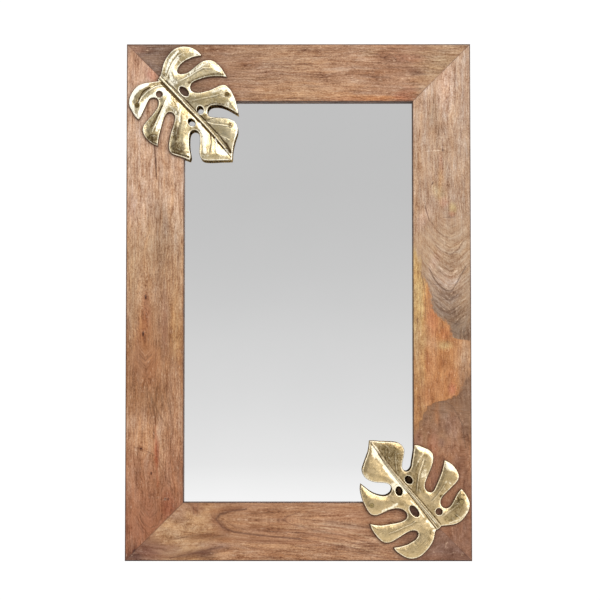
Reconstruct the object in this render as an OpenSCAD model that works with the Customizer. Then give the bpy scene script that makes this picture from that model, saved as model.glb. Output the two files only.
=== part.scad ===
// Wall mirror in a wide mitred hardwood frame, with a cast metal monstera
// leaf screwed on at the upper left and another at the lower right.
//
// Frame of reference: X to the right, Z up, and the face of the mirror looks
// along -Y. The origin is the centre of the mirror in the plane of the wall,
// which is the plane of the four bumper faces. All sizes are millimetres.

/* [Frame] */
// Outside width of the frame
frame_w = 610; // [560:1:700]
// Outside height of the frame
frame_h = 914; // [860:1:1050]
// Face width of each rail and stile
rail_w = 102.5; // [99:0.5:106]
// Thickness of the wood
frame_t = 25; // [25:0.5:30]
// Thickness of the lip in front of the glass
lip_t = 15; // [12:0.5:15]
// Width of the lip that covers the edge of the glass
lip_w = 10; // [8:0.5:12]
// Width of the recess for the backing board, from the sight edge
recess_w = 28; // [26:0.5:32]
// Depth of the recess for the backing board
recess_d = 5.5; // [4:0.5:5.5]
// Rounding of the outer front edge
edge_r = 2; // [0.5:0.1:3]
// Rounding of the sight edge
sight_r = 1.2; // [0.5:0.1:2]

/* [Mitre dowels] */
// Diameter of a dowel
dowel_d = 8; // [6:0.5:10]
// Length of a dowel
dowel_l = 36; // [30:1:40]
// Distance of the inner dowel from the sight edge
dowel_in = 50; // [46:1:54]
// Distance of the outer dowel from the sight edge
dowel_out = 80; // [76:1:82]

/* [Glass and back] */
// Thickness of the mirror glass
glass_t = 3; // [3:0.5:4]
// Gap between the edge of the glass and the wood
glass_gap = 2; // [1.5:0.5:3]
// Thickness of the backing board
board_t = 3; // [2.5:0.5:3.5]
// Gap between the edge of the board and the wood
board_gap = 1; // [0.5:0.5:2]
// Width of the foam tape
foam_w = 12; // [8:1:15]

/* [Leaves] */
// Thickness of the cast plate
leaf_t = 3; // [2.5:0.1:3.5]
// Height of the midrib above the plate
rib_h = 1.5; // [0.5:0.1:2]
// Gap under the midrib
leaf_low = 0.8; // [0.5:0.1:2]
// Rise of the plate from the midrib to the middle of the lobes
leaf_dish = 5.2; // [3:0.1:6]
// Droop of the lobe ends
leaf_droop = 3.5; // [1:0.1:4]
// Thickness of the web in the lower leaf's two blind holes
web_t = 1; // [0.8:0.1:1.5]
// Distance of each leaf's centre from the side of the frame
leaf_in_x = 105.5; // [105:0.5:107]
// Distance of the upper leaf's centre from the top of the frame
leaf_top_z = 103.5; // [103:0.5:105]
// Distance of the lower leaf's centre from the bottom of the frame
leaf_low_z = 102.5; // [102:0.5:104]

/* [Hangers and bumpers] */
// Distance between the two hangers
hanger_pitch = 508; // [480:1:520]
// Height of the ring's hinge above the centre of the mirror
hanger_z = 250; // [180:5:300]
// Diameter of the ring's wire
wire_d = 3; // [2.5:0.1:3]
// Width of the strap
strap_w = 12; // [10:0.5:14]
// Thickness of the strap
strap_t = 1.2; // [1:0.1:1.2]
// Height of a wall bumper
bumper_h = 6; // [6:0.5:8]
// Distance of a bumper's centre from the outside of the frame
bumper_in = 20; // [14:1:30]

/* [Hidden] */
$fn = 48;
eps = 0.01;

// planes along Y, from the wall to the front
back_y = -bumper_h;
front_y = back_y - frame_t;
glass_y = front_y + lip_t;            // front of the glass
glass_back_y = glass_y + glass_t;
shoulder_y = back_y - recess_d;       // front of the backing board
foam_t = shoulder_y - glass_back_y;
mid_y = (back_y + front_y) / 2;

// the opening and what sits behind it
open_w = frame_w - 2 * rail_w;
open_h = frame_h - 2 * rail_w;
glass_w = open_w + 2 * (lip_w - glass_gap);
glass_h = open_h + 2 * (lip_w - glass_gap);
board_w = open_w + 2 * (recess_w - board_gap);
board_h = open_h + 2 * (recess_w - board_gap);

wood = [0.66, 0.46, 0.32];
wood_pale = [0.74, 0.56, 0.42];
wood_warm = [0.62, 0.42, 0.29];
beech = [0.80, 0.65, 0.45];
silvered = [0.80, 0.82, 0.84];
gold = [0.78, 0.66, 0.40];
steel = [0.70, 0.71, 0.72];

// ---------------------------------------------------------------- frame

// quarter arc from angle a0 to a1 round c
function arc(c, r, a0, a1, n = 4) =
  [for (i = [0:n]) let (a = a0 + (a1 - a0) * i / n) c + r * [cos(a), sin(a)]];

// Section of a frame member: first value along Y, second outward from the
// sight edge
function member_section() = concat(
  arc([front_y + sight_r, sight_r], sight_r, 270, 180),
  arc([front_y + edge_r, rail_w - edge_r], edge_r, 180, 90),
  [[back_y - 1, rail_w], [back_y, rail_w - 1],
   [back_y, recess_w], [shoulder_y, recess_w],
   [shoulder_y, lip_w], [glass_y, lip_w], [glass_y, 0]]);

board_screw_u = (lip_w + recess_w) / 2;       // from the sight edge
dowel_dirs = [-1, 1];

// A member lying along X, its sight edge at z = 0 and its outer edge at
// z = rail_w, mitred at both ends. xs lists its backing board screws.
module member(len, xs) {
  difference() {
    intersection() {
      rotate([90, 0, 90])
        linear_extrude(len + 2, center = true) polygon(member_section());
      translate([0, back_y + 10, 0]) rotate([90, 0, 0])
        linear_extrude(frame_t + 20)
          polygon([[-len / 2, rail_w], [len / 2, rail_w],
                   [len / 2 - rail_w - 5, -5], [-len / 2 + rail_w + 5, -5]]);
    }
    // dowel holes, square to the mitres
    for (s = dowel_dirs, d = [dowel_in, dowel_out])
      translate([s * (len / 2 - rail_w + d), mid_y, d])
        rotate([0, -s * 45, 0])
          translate([0, 0, -1])
            cylinder(d = dowel_d, h = dowel_l / 2 + 2);
    // pilot holes for the backing board screws
    for (x = xs)
      translate([x, shoulder_y + eps, board_screw_u]) rotate([90, 0, 0])
        cylinder(r = 1.6, h = 11);
  }
}

// Pilot hole in the back face for a hanger screw
module hanger_pilots(x) {
  for (dz = strap_holes)
    translate([x, back_y + eps, hanger_z + dz]) rotate([90, 0, 0])
      cylinder(r = 2, h = 15);
}

rail_xs = [-130, 0, 130];
stile_xs = [-230, 0, 230];

module top_rail() {
  color(wood)
    difference() {
      translate([0, 0, open_h / 2]) member(frame_w, rail_xs);
      at_upper_leaf() leaf_pilot(UPPER_SCREWS[1]);
    }
}

module bottom_rail() {
  color(wood)
    difference() {
      rotate([0, 180, 0]) translate([0, 0, open_h / 2]) member(frame_w, rail_xs);
      at_lower_leaf() leaf_pilot(LOWER_SCREWS[1]);
    }
}

module left_stile() {
  color(wood_pale)
    difference() {
      rotate([0, -90, 0]) translate([0, 0, open_w / 2]) member(frame_h, stile_xs);
      hanger_pilots(-hanger_pitch / 2);
      at_upper_leaf() leaf_pilot(UPPER_SCREWS[0]);
    }
}

module right_stile() {
  color(wood_warm)
    difference() {
      rotate([0, 90, 0]) translate([0, 0, open_w / 2]) member(frame_h, stile_xs);
      hanger_pilots(hanger_pitch / 2);
      at_lower_leaf() leaf_pilot(LOWER_SCREWS[0]);
    }
}

// The two dowels of one corner: sx and sz are the signs of its X and Z
module dowels(sx, sz) {
  color(beech)
    for (d = [dowel_in, dowel_out])
      translate([sx * (open_w / 2 + d), mid_y, sz * (open_h / 2 + d)])
        rotate([0, -sx * sz * 45, 0]) {
          cylinder(d = dowel_d - 0.1, h = dowel_l - 2, center = true);
          for (a = [0, 180]) rotate([a, 0, 0]) translate([0, 0, dowel_l / 2 - 1])
            cylinder(d1 = dowel_d - 0.1, d2 = dowel_d - 1.6, h = 1);
        }
}

// ------------------------------------------------------- glass and back

module mirror_glass() {
  color(silvered)
    translate([-glass_w / 2, glass_y, -glass_h / 2])
      cube([glass_w, glass_t, glass_h]);
}

module setting_block(x) {
  color([0.15, 0.15, 0.15])
    translate([x - 15, glass_y, -glass_h / 2 - glass_gap])
      cube([30, glass_t, glass_gap]);
}

module foam_tape_across(s) {
  color([0.1, 0.1, 0.1])
    translate([-glass_w / 2, glass_back_y, s > 0 ? glass_h / 2 - foam_w : -glass_h / 2])
      cube([glass_w, foam_t, foam_w]);
}

module foam_tape_upright(s) {
  color([0.1, 0.1, 0.1])
    translate([s > 0 ? glass_w / 2 - foam_w : -glass_w / 2, glass_back_y, -glass_h / 2 + foam_w])
      cube([foam_w, foam_t, glass_h - 2 * foam_w]);
}

// where the backing board screws go, as [x, z]
BOARD_SCREWS = concat(
  [for (x = rail_xs, s = [-1, 1]) [x, s * (open_h / 2 + board_screw_u)]],
  [for (z = stile_xs, s = [-1, 1]) [s * (open_w / 2 + board_screw_u), z]]);

module backing_board() {
  color([0.55, 0.42, 0.30])
    difference() {
      translate([-board_w / 2, shoulder_y, -board_h / 2])
        cube([board_w, board_t, board_h]);
      for (p = BOARD_SCREWS)
        translate([p[0], shoulder_y - 1, p[1]]) rotate([-90, 0, 0])
          cylinder(r = 1.9, h = board_t + 2);
    }
}

// Pan head screw along +Y: the underside of the head is at y = 0
module pan_screw(r, len, head_r, head_h) {
  difference() {
    union() {
      rotate([90, 0, 0]) cylinder(r = r, h = len - 3);
      translate([0, -len + 3, 0]) rotate([90, 0, 0]) cylinder(r1 = r, r2 = 0.3, h = 3);
      rotate([-90, 0, 0]) cylinder(r = head_r, h = head_h * 0.55);
      translate([0, head_h * 0.55, 0]) rotate([-90, 0, 0])
        cylinder(r1 = head_r, r2 = head_r * 0.68, h = head_h * 0.45);
    }
    for (a = [0, 90]) rotate([0, a, 0])
      translate([-head_r * 0.55, head_h * 0.35, -0.4])
        cube([head_r * 1.1, head_h, 0.8]);
  }
}

module backing_board_screws() {
  color(steel)
    for (p = BOARD_SCREWS)
      translate([p[0], shoulder_y + board_t, p[1]])
        pan_screw(1.55, 12, 3.3, 1.8);
}

// --------------------------------------------------------------- leaves
//
// Each leaf is drawn flat, u to the right and v up about its own centre, as
// the upper leaf hangs. Height is measured from the front of the wood. The
// two castings differ a little, as hand-finished castings do. A third value
// of 1 marks a sharp corner; the edge is a smooth curve everywhere else.

UPPER_EDGE = [
  // end of the stalk, then the first right lobe
  [-50,40,1], [-46.5,45,1], [-44.5,49,0], [-43,55,0], [-42,61,0], [-39.5,69,0],
  [-35.5,77,0], [-30,85,0], [-23,92,0], [-15,96.5,0], [-6,98.5,0], [3,98,0],
  [11,96,0], [19,91.5,0], [24.5,86.5,0], [27.5,82,1],
  [20,81,0], [12,79,0], [4,75.5,0], [-3,71.5,0], [-9.5,66,0], [-13.5,60,0],
  [-15,54,0], [-12.5,50,0], [-6,49.3,0], [2,51.3,0],
  // second right lobe
  [9,56,0], [16,62,0], [23,68,0], [31,72.5,0], [40,74.5,0], [48,73,0],
  [55,68.5,0], [61.5,62,0], [67,54,0], [70.5,47.5,0], [72.5,43.5,1],
  [65,45,0], [54,45.2,0], [43,44.5,0], [33,42.5,0], [24,39.5,0], [16,36.3,0],
  [10.5,32.5,0], [8,27.5,0], [8.5,22,0], [12,17.8,0], [19,16,0], [28,16.8,0],
  // third right lobe
  [37,19,0], [46,22,0], [55,26.5,0], [62,29.5,0], [68.5,30,0], [74.5,26.5,0],
  [79.5,20.5,0], [84,12,0], [87.5,4,0], [90,-5,0], [92,-14,0], [93,-22,1],
  [87,-18.5,0], [79.5,-14,0], [71,-9.8,0], [62,-6.8,0], [53,-5.8,0], [45,-7,0],
  [40,-11,0], [38,-17,0], [39.5,-23,0], [44,-26.5,0], [52,-27.8,0],
  // end lobe
  [62,-28.2,0], [71,-29,0], [79,-31.3,0], [85.5,-35,0], [90,-41,0], [92,-48,0],
  [91.3,-56,0], [88.5,-64,0], [86,-73,0], [84,-82,0], [82.8,-91,0], [82.5,-98,0],
  [82,-104,1],
  [72,-104.3,0], [61,-104.5,0], [50,-105,0], [40,-105,0], [32,-104,0],
  [27,-100.5,0], [24.5,-94,0], [24,-85,0], [24.8,-75,0], [25,-66,0], [24,-58,0],
  [20.5,-52.5,0], [15,-50.5,0], [10,-52.5,0], [7,-57.5,0], [6,-65,0], [6,-75,0],
  // third left lobe
  [6.8,-85,0], [8.3,-93,0], [8.8,-99,0], [7,-104,1], [0,-101.5,0], [-8,-98.5,0],
  [-16,-96,0], [-23,-93.5,0], [-28,-89,0], [-30,-82,0], [-29.8,-74,0],
  [-28.5,-66,0], [-26.5,-57,0], [-24,-49,0], [-21.5,-41,0], [-19.5,-33,0],
  [-19.5,-26,0], [-23,-20.5,0], [-28,-18.8,0], [-33,-20.5,0], [-37,-26,0],
  // second left lobe
  [-40,-34,0], [-42.5,-43,0], [-45,-52,0], [-47.3,-62,0], [-48.8,-71,0],
  [-49.5,-79,1], [-56,-76.5,0], [-63,-72.5,0], [-69.5,-66.5,0], [-74,-60,0],
  [-76.5,-52,0], [-76,-45,0], [-72.5,-38.5,0], [-66.5,-31.5,0], [-60,-24,0],
  [-54,-16.5,0], [-49.8,-9,0], [-48.2,-2,0], [-50,4,0], [-54,6.8,0],
  [-59.5,7,0], [-64.5,4.5,0],
  // first left lobe
  [-68,-1,0], [-71.5,-9,0], [-75.5,-18,0], [-79.5,-26,0], [-83,-32,1],
  [-87.5,-28.5,0], [-92,-22.5,0], [-96,-15.5,0], [-99.5,-8.5,0], [-100.8,-1,0],
  [-99.5,7,0], [-96.3,14.5,0], [-91.5,22,0], [-85.5,28,0], [-78,31.5,0],
  [-70,33.5,0], [-61,35,0], [-53.5,36,0], [-49,37,1]];

LOWER_EDGE = [
  [-51.5,40.7,1], [-47,45.5,1], [-42,48,1], [-40.3,52,0], [-39.5,58,0],
  [-37.5,65,0], [-33.5,73,0], [-28,80.5,0], [-21.5,87.5,0], [-14,93.5,0],
  [-5,97,0], [3,97.7,0], [11,95.8,0], [19,91.5,0], [26,86.5,0], [30.5,82,0],
  [32.3,78.3,1], [25,77.2,0], [17,75.3,0], [9,72.8,0], [2,69,0], [-4.5,65,0],
  [-9,60,0], [-10.7,54.5,0], [-8,49.8,0], [-2,48.5,0], [5,50.3,0], [12,54,0],
  // second right lobe
  [20,59,0], [28,64,0], [36,68.5,0], [44,70.2,0], [51,69,0], [57,64.5,0],
  [62.5,58.5,0], [67.5,52,0], [71.5,45,0], [74,37,1], [66,38.6,0],
  [57,39.4,0], [48,38.8,0], [39,37,0], [30,35.7,0], [21,33.5,0], [14,30.5,0],
  [9.7,26.5,0], [8.8,21.5,0], [11.5,16,0], [17.5,11.8,0], [25,10,0], [33,10.8,0],
  // third right lobe
  [41,13,0], [49,16.7,0], [57,20.3,0], [64,22.3,0], [70,21.5,0], [75,18,0],
  [79.5,11.5,0], [83.5,4,0], [87,-4,0], [89.5,-13,0], [91,-22,0], [90,-32,1],
  [84.5,-28,0], [78,-22.8,0], [71,-18,0], [63,-14.3,0], [55,-12.3,0],
  [47,-12,0], [41,-14.7,0], [37,-19,0], [35.7,-25,0], [39,-31,0], [45,-34,0],
  [53,-35,0],
  // end lobe
  [62,-35.5,0], [70,-37,0], [77,-40,0], [83,-44.5,0], [86.7,-51,0],
  [87.5,-58,0], [85.5,-65,0], [82.7,-73,0], [79.8,-81,0], [77,-89,0],
  [75.5,-97,0], [75,-103,0], [74.5,-108,1], [66,-108,0], [56,-107.3,0],
  [46,-107,0], [36,-106.5,0], [27,-105.5,0], [20,-102.5,0], [15.5,-97.5,0],
  [13.5,-91,0], [14.3,-83,0], [16,-75,0], [17.3,-67,0], [17,-60.5,0],
  [13.5,-56,0], [9,-54.8,0], [4.5,-57.5,0], [1.3,-63,0],
  // third left lobe
  [0,-71,0], [-1.5,-80,0], [-2.8,-89,0], [-3.7,-96,0], [-4,-101,1],
  [-11,-100.8,0], [-18,-98,0], [-26,-95,0], [-32.5,-91,0], [-36.7,-85,0],
  [-37.6,-77,0], [-36,-68,0], [-33,-59,0], [-29.5,-51,0], [-26,-43,0],
  [-23.3,-35,0], [-22.5,-28,0], [-25,-22.3,0], [-30,-18.8,0], [-35.5,-19.3,0],
  [-39.5,-24,0],
  // second left lobe
  [-43,-31.5,0], [-46.5,-39.5,0], [-50,-48,0], [-53,-57,0], [-55.3,-66,0],
  [-57,-75,1], [-63.5,-72,0], [-70.5,-67,0], [-76,-61,0], [-80.5,-53.5,0],
  [-82.5,-46,0], [-80.5,-39.5,0], [-75.5,-33,0], [-68.5,-26,0], [-61.5,-19,0],
  [-55,-12.5,0], [-51,-6,0], [-50,0,0], [-52,5.8,0], [-57,8.7,0], [-62.5,8.6,0],
  // first left lobe
  [-67,5.5,0], [-70.8,0,0], [-74.5,-7,0], [-78.5,-14.5,0], [-82.5,-20.5,0],
  [-86.5,-24.5,1], [-91,-20,0], [-95,-14,0], [-98.5,-7.5,0], [-101,0,0],
  [-100.8,8,0], [-98.3,15.5,0], [-94,22.5,0], [-88.5,29.5,0], [-82,34.5,0],
  [-74,37.8,0], [-65,39.3,0], [-57,40,0]];

// Holes: [u, v, long half axis, short half axis, turn]
UPPER_HOLES = [[-47,13,5.8,5.8,0], [-3.3,18,10.2,5.9,-45], [25.5,-15,7,5.6,-70], [10.2,-37.2,7.6,5.6,-50]];
LOWER_HOLES = [[-47,15.5,5.8,5.8,0], [-3.8,14.7,11.2,6.2,-52], [23,-20.5,8,6,-75], [6,-40,7.6,5.8,-50]];

// Screws on the first left lobe and the third right lobe, then the two feet
UPPER_SCREWS = [[-86,-7], [73,12.5]];
LOWER_SCREWS = [[-87,-2], [71,4.5]];
UPPER_FEET = [[-27,78], [-17,-84]];
LOWER_FEET = [[-22,80], [-22,-84]];

// Start and direction of the midrib
UPPER_RIB = [-46, 41, -47.1];
LOWER_RIB = [-46, 43, -50.6];

// Smooth closed curve through hand-set points, n steps to a span
function edge_curve(p, n = 3) = let (m = len(p)) [
  for (i = [0:m - 1], k = [0:n - 1])
    let (a = p[(i + m - 1) % m], b = p[i], c = p[(i + 1) % m], d = p[(i + 2) % m],
         t = k / n,
         tb = b[2] == 1 ? (xy(c) - xy(b)) : (xy(c) - xy(a)) / 2,
         tc = c[2] == 1 ? (xy(c) - xy(b)) : (xy(d) - xy(b)) / 2)
      (2 * pow(t, 3) - 3 * pow(t, 2) + 1) * xy(b) + (pow(t, 3) - 2 * pow(t, 2) + t) * tb
      + (-2 * pow(t, 3) + 3 * pow(t, 2)) * xy(c) + (pow(t, 3) - pow(t, 2)) * tc];
function xy(q) = [q[0], q[1]];

function ellipse(q, n = 28) = [for (i = [0:n - 1]) let (a = 360 * i / n,
  x = q[2] * cos(a), y = q[3] * sin(a))
  [q[0] + x * cos(q[4]) - y * sin(q[4]), q[1] + x * sin(q[4]) + y * cos(q[4])]];

// Height of the underside at distance t from the midrib
function under(t) = leaf_low + leaf_dish * (1 - exp(-pow(t / 26, 2)))
  - (abs(t) > 60 ? leaf_droop * pow((abs(t) - 60) / 45, 2) : 0);
DISH_T = [-105, -95, -85, -75, -65, -55, -45, -37, -30, -24, -18, -12, -6,
          0, 6, 12, 18, 24, 30, 37, 45, 55, 65, 75, 85, 95, 105];
function rib(t) = abs(t) < 2 ? rib_h : 0;
TOP_T = [105, 95, 85, 75, 65, 55, 45, 37, 30, 24, 18, 12, 6, 3.5, 1.99,
         -1.99, -3.5, -6, -12, -18, -24, -30, -37, -45, -55, -65, -75, -85, -95, -105];
function dish_section() = concat([for (t = DISH_T) [t, under(t)]],
                                 [for (t = TOP_T) [t, under(t) + leaf_t + rib(t)]]);
function web_section() = concat([for (t = DISH_T) [t, under(t)]],
                                [for (t = TOP_T) [t, under(t) + web_t]]);

// A curved plate with the given section, lying along the midrib
module dished(r, section) {
  translate([r[0], r[1], 0]) rotate([0, 0, 90 + r[2]]) rotate([90, 0, 0])
    translate([0, 0, -40]) linear_extrude(250) polygon(section);
}

// distance of a point from the midrib, positive on the right of it
function off_rib(q, r) = (q[0] - r[0]) * cos(90 + r[2]) + (q[1] - r[1]) * sin(90 + r[2]);

module at_upper_leaf() {
  translate([-frame_w / 2 + leaf_in_x, front_y, frame_h / 2 - leaf_top_z])
    rotate([90, 0, 0]) children();
}
module at_lower_leaf() {
  translate([frame_w / 2 - leaf_in_x, front_y, -frame_h / 2 + leaf_low_z])
    rotate([90, 0, 0]) rotate([0, 0, 180]) children();
}

// Hole in the wood for a leaf screw, and the screw itself
module leaf_pilot(q) {
  translate([q[0], q[1], -14]) cylinder(r = 1.75, h = 14 + eps);
}

head_h = 2.2;
head_r = 3.5;
module leaf_screw(q, r) {
  top = under(off_rib(q, r)) + leaf_t;
  translate([q[0], q[1], 0])
    difference() {
      union() {
        translate([0, 0, -10]) cylinder(r = 1.7, h = 10 + top - head_h + eps);
        translate([0, 0, -13]) cylinder(r1 = 0.3, r2 = 1.7, h = 3);
        translate([0, 0, top - head_h]) cylinder(r1 = 1.7, r2 = head_r, h = head_h);
      }
      for (a = [20, 110]) rotate([0, 0, a])
        translate([-1.9, -0.35, top - 1.1]) cube([3.8, 0.7, 2]);
    }
}

// One cast leaf: outline, holes, rib line, screws, feet, and the holes that are blind
module leaf(edge, holes, r, screws, feet, blind = []) {
  difference() {
    union() {
      intersection() {
        linear_extrude(20) difference() {
          polygon(edge_curve(edge));
          for (i = [1:3]) polygon(ellipse(holes[i]));
        }
        dished(r, dish_section());
      }
      for (i = blind) intersection() {
        linear_extrude(20) polygon(ellipse(holes[i] + [0, 0, 0.4, 0.4, 0]));
        dished(r, web_section());
      }
      for (q = screws) translate([q[0], q[1], 0])
        cylinder(r = 5, h = under(off_rib(q, r)) + 1);
      for (q = feet) translate([q[0], q[1], 0])
        cylinder(r = 4, h = under(off_rib(q, r)) + 1);
    }
    // round hole beside the stalk
    translate([holes[0][0], holes[0][1], -1]) cylinder(r = holes[0][2], h = 25);
    for (q = screws) {
      top = under(off_rib(q, r)) + leaf_t;
      translate([q[0], q[1], -1]) cylinder(r = 2, h = 25);
      translate([q[0], q[1], top - head_h - 0.1])
        cylinder(r1 = 2, r2 = head_r + 0.4, h = head_h + 0.3);
    }
  }
}

module upper_leaf() {
  color(gold) at_upper_leaf() leaf(UPPER_EDGE, UPPER_HOLES, UPPER_RIB, UPPER_SCREWS, UPPER_FEET);
}
module lower_leaf() {
  color(gold) at_lower_leaf()
    leaf(LOWER_EDGE, LOWER_HOLES, LOWER_RIB, LOWER_SCREWS, LOWER_FEET, blind = [2, 3]);
}
module upper_leaf_screws() {
  color(gold) at_upper_leaf() for (q = UPPER_SCREWS) leaf_screw(q, UPPER_RIB);
}
module lower_leaf_screws() {
  color(gold) at_lower_leaf() for (q = LOWER_SCREWS) leaf_screw(q, LOWER_RIB);
}

// -------------------------------------------------- hangers and bumpers

ring_r = 10.5;                    // centre line of the bow
ring_leg = 6;
bore_r = wire_d / 2 + 0.1;
knuckle_r = bore_r + strap_t;
hinge_y = back_y + knuckle_r;
strap_holes = [-23, -36];
strap_end = -38;

// Strap with the hinge axis along X at its own origin
module hanger_strap(x) {
  color(steel)
    translate([x, 0, hanger_z])
      difference() {
        union() {
          translate([-strap_w / 2, back_y, strap_end]) cube([strap_w, strap_t, -strap_end]);
          translate([0, back_y, strap_end]) rotate([-90, 0, 0])
            cylinder(d = strap_w, h = strap_t);
          translate([0, hinge_y, 0]) rotate([0, 90, 0])
            cylinder(r = knuckle_r, h = strap_w, center = true);
        }
        translate([0, hinge_y, 0]) rotate([0, 90, 0])
          cylinder(r = bore_r, h = strap_w + 2, center = true);
        for (dz = strap_holes) translate([0, back_y - 1, dz]) rotate([-90, 0, 0])
          cylinder(r = 2.2, h = strap_t + 2);
      }
}

module hanger_screws(x) {
  color(steel)
    for (dz = strap_holes)
      translate([x, back_y + strap_t, hanger_z + dz])
        pan_screw(1.9, 15, 3.8, 1.9);
}

// D ring, hanging down from its straight bar
module hanger_ring(x) {
  color(steel)
    translate([x, hinge_y, hanger_z]) {
      rotate([0, 90, 0]) cylinder(d = wire_d, h = 2 * ring_r, center = true);
      for (s = [-1, 1]) {
        translate([s * ring_r, 0, 0]) sphere(d = wire_d);
        translate([s * ring_r, 0, -ring_leg]) cylinder(d = wire_d, h = ring_leg);
      }
      translate([0, 0, -ring_leg]) rotate([90, 0, 0]) rotate([0, 0, 180])
        rotate_extrude(angle = 180) translate([ring_r, 0]) circle(d = wire_d);
    }
}

// Rubber bumper at the corner with signs sx and sz
module bumper(sx, sz) {
  color([0.09, 0.09, 0.09])
    translate([sx * (frame_w / 2 - bumper_in), back_y, sz * (frame_h / 2 - bumper_in)])
      rotate([-90, 0, 0]) {
        cylinder(r = 8, h = bumper_h - 1.5);
        translate([0, 0, bumper_h - 1.5]) cylinder(r1 = 8, r2 = 6.5, h = 1.5);
      }
}

top_rail();
bottom_rail();
left_stile();
right_stile();
dowels(-1, 1);  // dowels_top_left
dowels(1, 1);  // dowels_top_right
dowels(-1, -1);  // dowels_bottom_left
dowels(1, -1);  // dowels_bottom_right
mirror_glass();
setting_block(-130);  // setting_block_left
setting_block(130);  // setting_block_right
foam_tape_across(1);  // foam_tape_top
foam_tape_across(-1);  // foam_tape_bottom
foam_tape_upright(-1);  // foam_tape_left
foam_tape_upright(1);  // foam_tape_right
backing_board();
backing_board_screws();
upper_leaf();
upper_leaf_screws();
lower_leaf();
lower_leaf_screws();
hanger_strap(-hanger_pitch / 2);  // left_hanger_strap
hanger_screws(-hanger_pitch / 2);  // left_hanger_screws
hanger_ring(-hanger_pitch / 2);  // left_hanger_ring
hanger_strap(hanger_pitch / 2);  // right_hanger_strap
hanger_screws(hanger_pitch / 2);  // right_hanger_screws
hanger_ring(hanger_pitch / 2);  // right_hanger_ring
bumper(-1, 1);  // bumper_top_left
bumper(1, 1);  // bumper_top_right
bumper(-1, -1);  // bumper_bottom_left
bumper(1, -1);  // bumper_bottom_right
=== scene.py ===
import math
import random

import bpy
import numpy as np
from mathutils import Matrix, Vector, geometry, noise
from mathutils.kdtree import KDTree


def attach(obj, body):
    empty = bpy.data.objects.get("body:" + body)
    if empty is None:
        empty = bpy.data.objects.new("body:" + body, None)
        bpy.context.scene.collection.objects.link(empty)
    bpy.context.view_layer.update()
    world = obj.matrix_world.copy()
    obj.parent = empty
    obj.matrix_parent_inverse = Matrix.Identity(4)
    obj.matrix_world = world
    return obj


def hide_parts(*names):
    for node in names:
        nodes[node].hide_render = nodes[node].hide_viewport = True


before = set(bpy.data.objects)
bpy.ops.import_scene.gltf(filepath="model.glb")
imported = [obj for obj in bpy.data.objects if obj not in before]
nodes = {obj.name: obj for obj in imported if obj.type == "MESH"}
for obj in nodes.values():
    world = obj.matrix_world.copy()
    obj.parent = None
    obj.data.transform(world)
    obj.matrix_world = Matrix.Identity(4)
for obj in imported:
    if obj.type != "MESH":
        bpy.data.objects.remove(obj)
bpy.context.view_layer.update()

SCENE = bpy.context.scene
FRONT_Y = -0.031          # front face of the wood
GLASS_Y = -0.016          # front face of the glass
SIGHT_X, SIGHT_Z = 202.5, 354.5   # sight edge, in mm


# ------------------------------------------------------------------ camera

FOCAL_PX = 1805.0
CAM_POS = Vector((0.0125, -3.215, -0.1365))
CAM_DIR = Vector((-0.00306, 0.99905, 0.04339)).normalized()

cam_data = bpy.data.cameras.new("camera")
cam_data.sensor_width = 36.0
cam_data.lens = FOCAL_PX * 36.0 / 600.0
cam_data.clip_end = 60.0
cam = bpy.data.objects.new("camera", cam_data)
SCENE.collection.objects.link(cam)
cam.location = CAM_POS
cam.rotation_euler = CAM_DIR.to_track_quat("-Z", "Y").to_euler()
SCENE.camera = cam
CAM_R = CAM_DIR.to_track_quat("-Z", "Y").to_matrix()


def at(px, py, plane_y=FRONT_Y):
    """Row-frame (x, z) in mm of a point of the 600 x 600 picture on the plane y = plane_y."""
    ray = CAM_R @ Vector(((px - 300.0) / FOCAL_PX, (300.0 - py) / FOCAL_PX, -1.0))
    k = (plane_y - CAM_POS.y) / ray.y
    p = CAM_POS + ray * k
    return p.x * 1000.0, p.z * 1000.0


PX = 1.767                # mm to one pixel at the front of the wood


# ------------------------------------------------------------ shader graph

def lin(c):
    """sRGB 0-255 to linear."""
    out = []
    for v in c:
        v = v / 255.0
        out.append(v / 12.92 if v <= 0.04045 else ((v + 0.055) / 1.055) ** 2.4)
    return tuple(out) + (1.0,)


class V:
    """A float socket that can be added, multiplied and so on."""

    def __init__(self, g, s):
        self.g, self.s = g, s

    def __add__(self, o): return self.g.math("ADD", self, o)
    __radd__ = __add__
    def __mul__(self, o): return self.g.math("MULTIPLY", self, o)
    __rmul__ = __mul__
    def __sub__(self, o): return self.g.math("SUBTRACT", self, o)
    def __rsub__(self, o): return self.g.math("SUBTRACT", o, self)
    def __truediv__(self, o): return self.g.math("DIVIDE", self, o)
    def __neg__(self): return self.g.math("MULTIPLY", self, -1.0)


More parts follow.
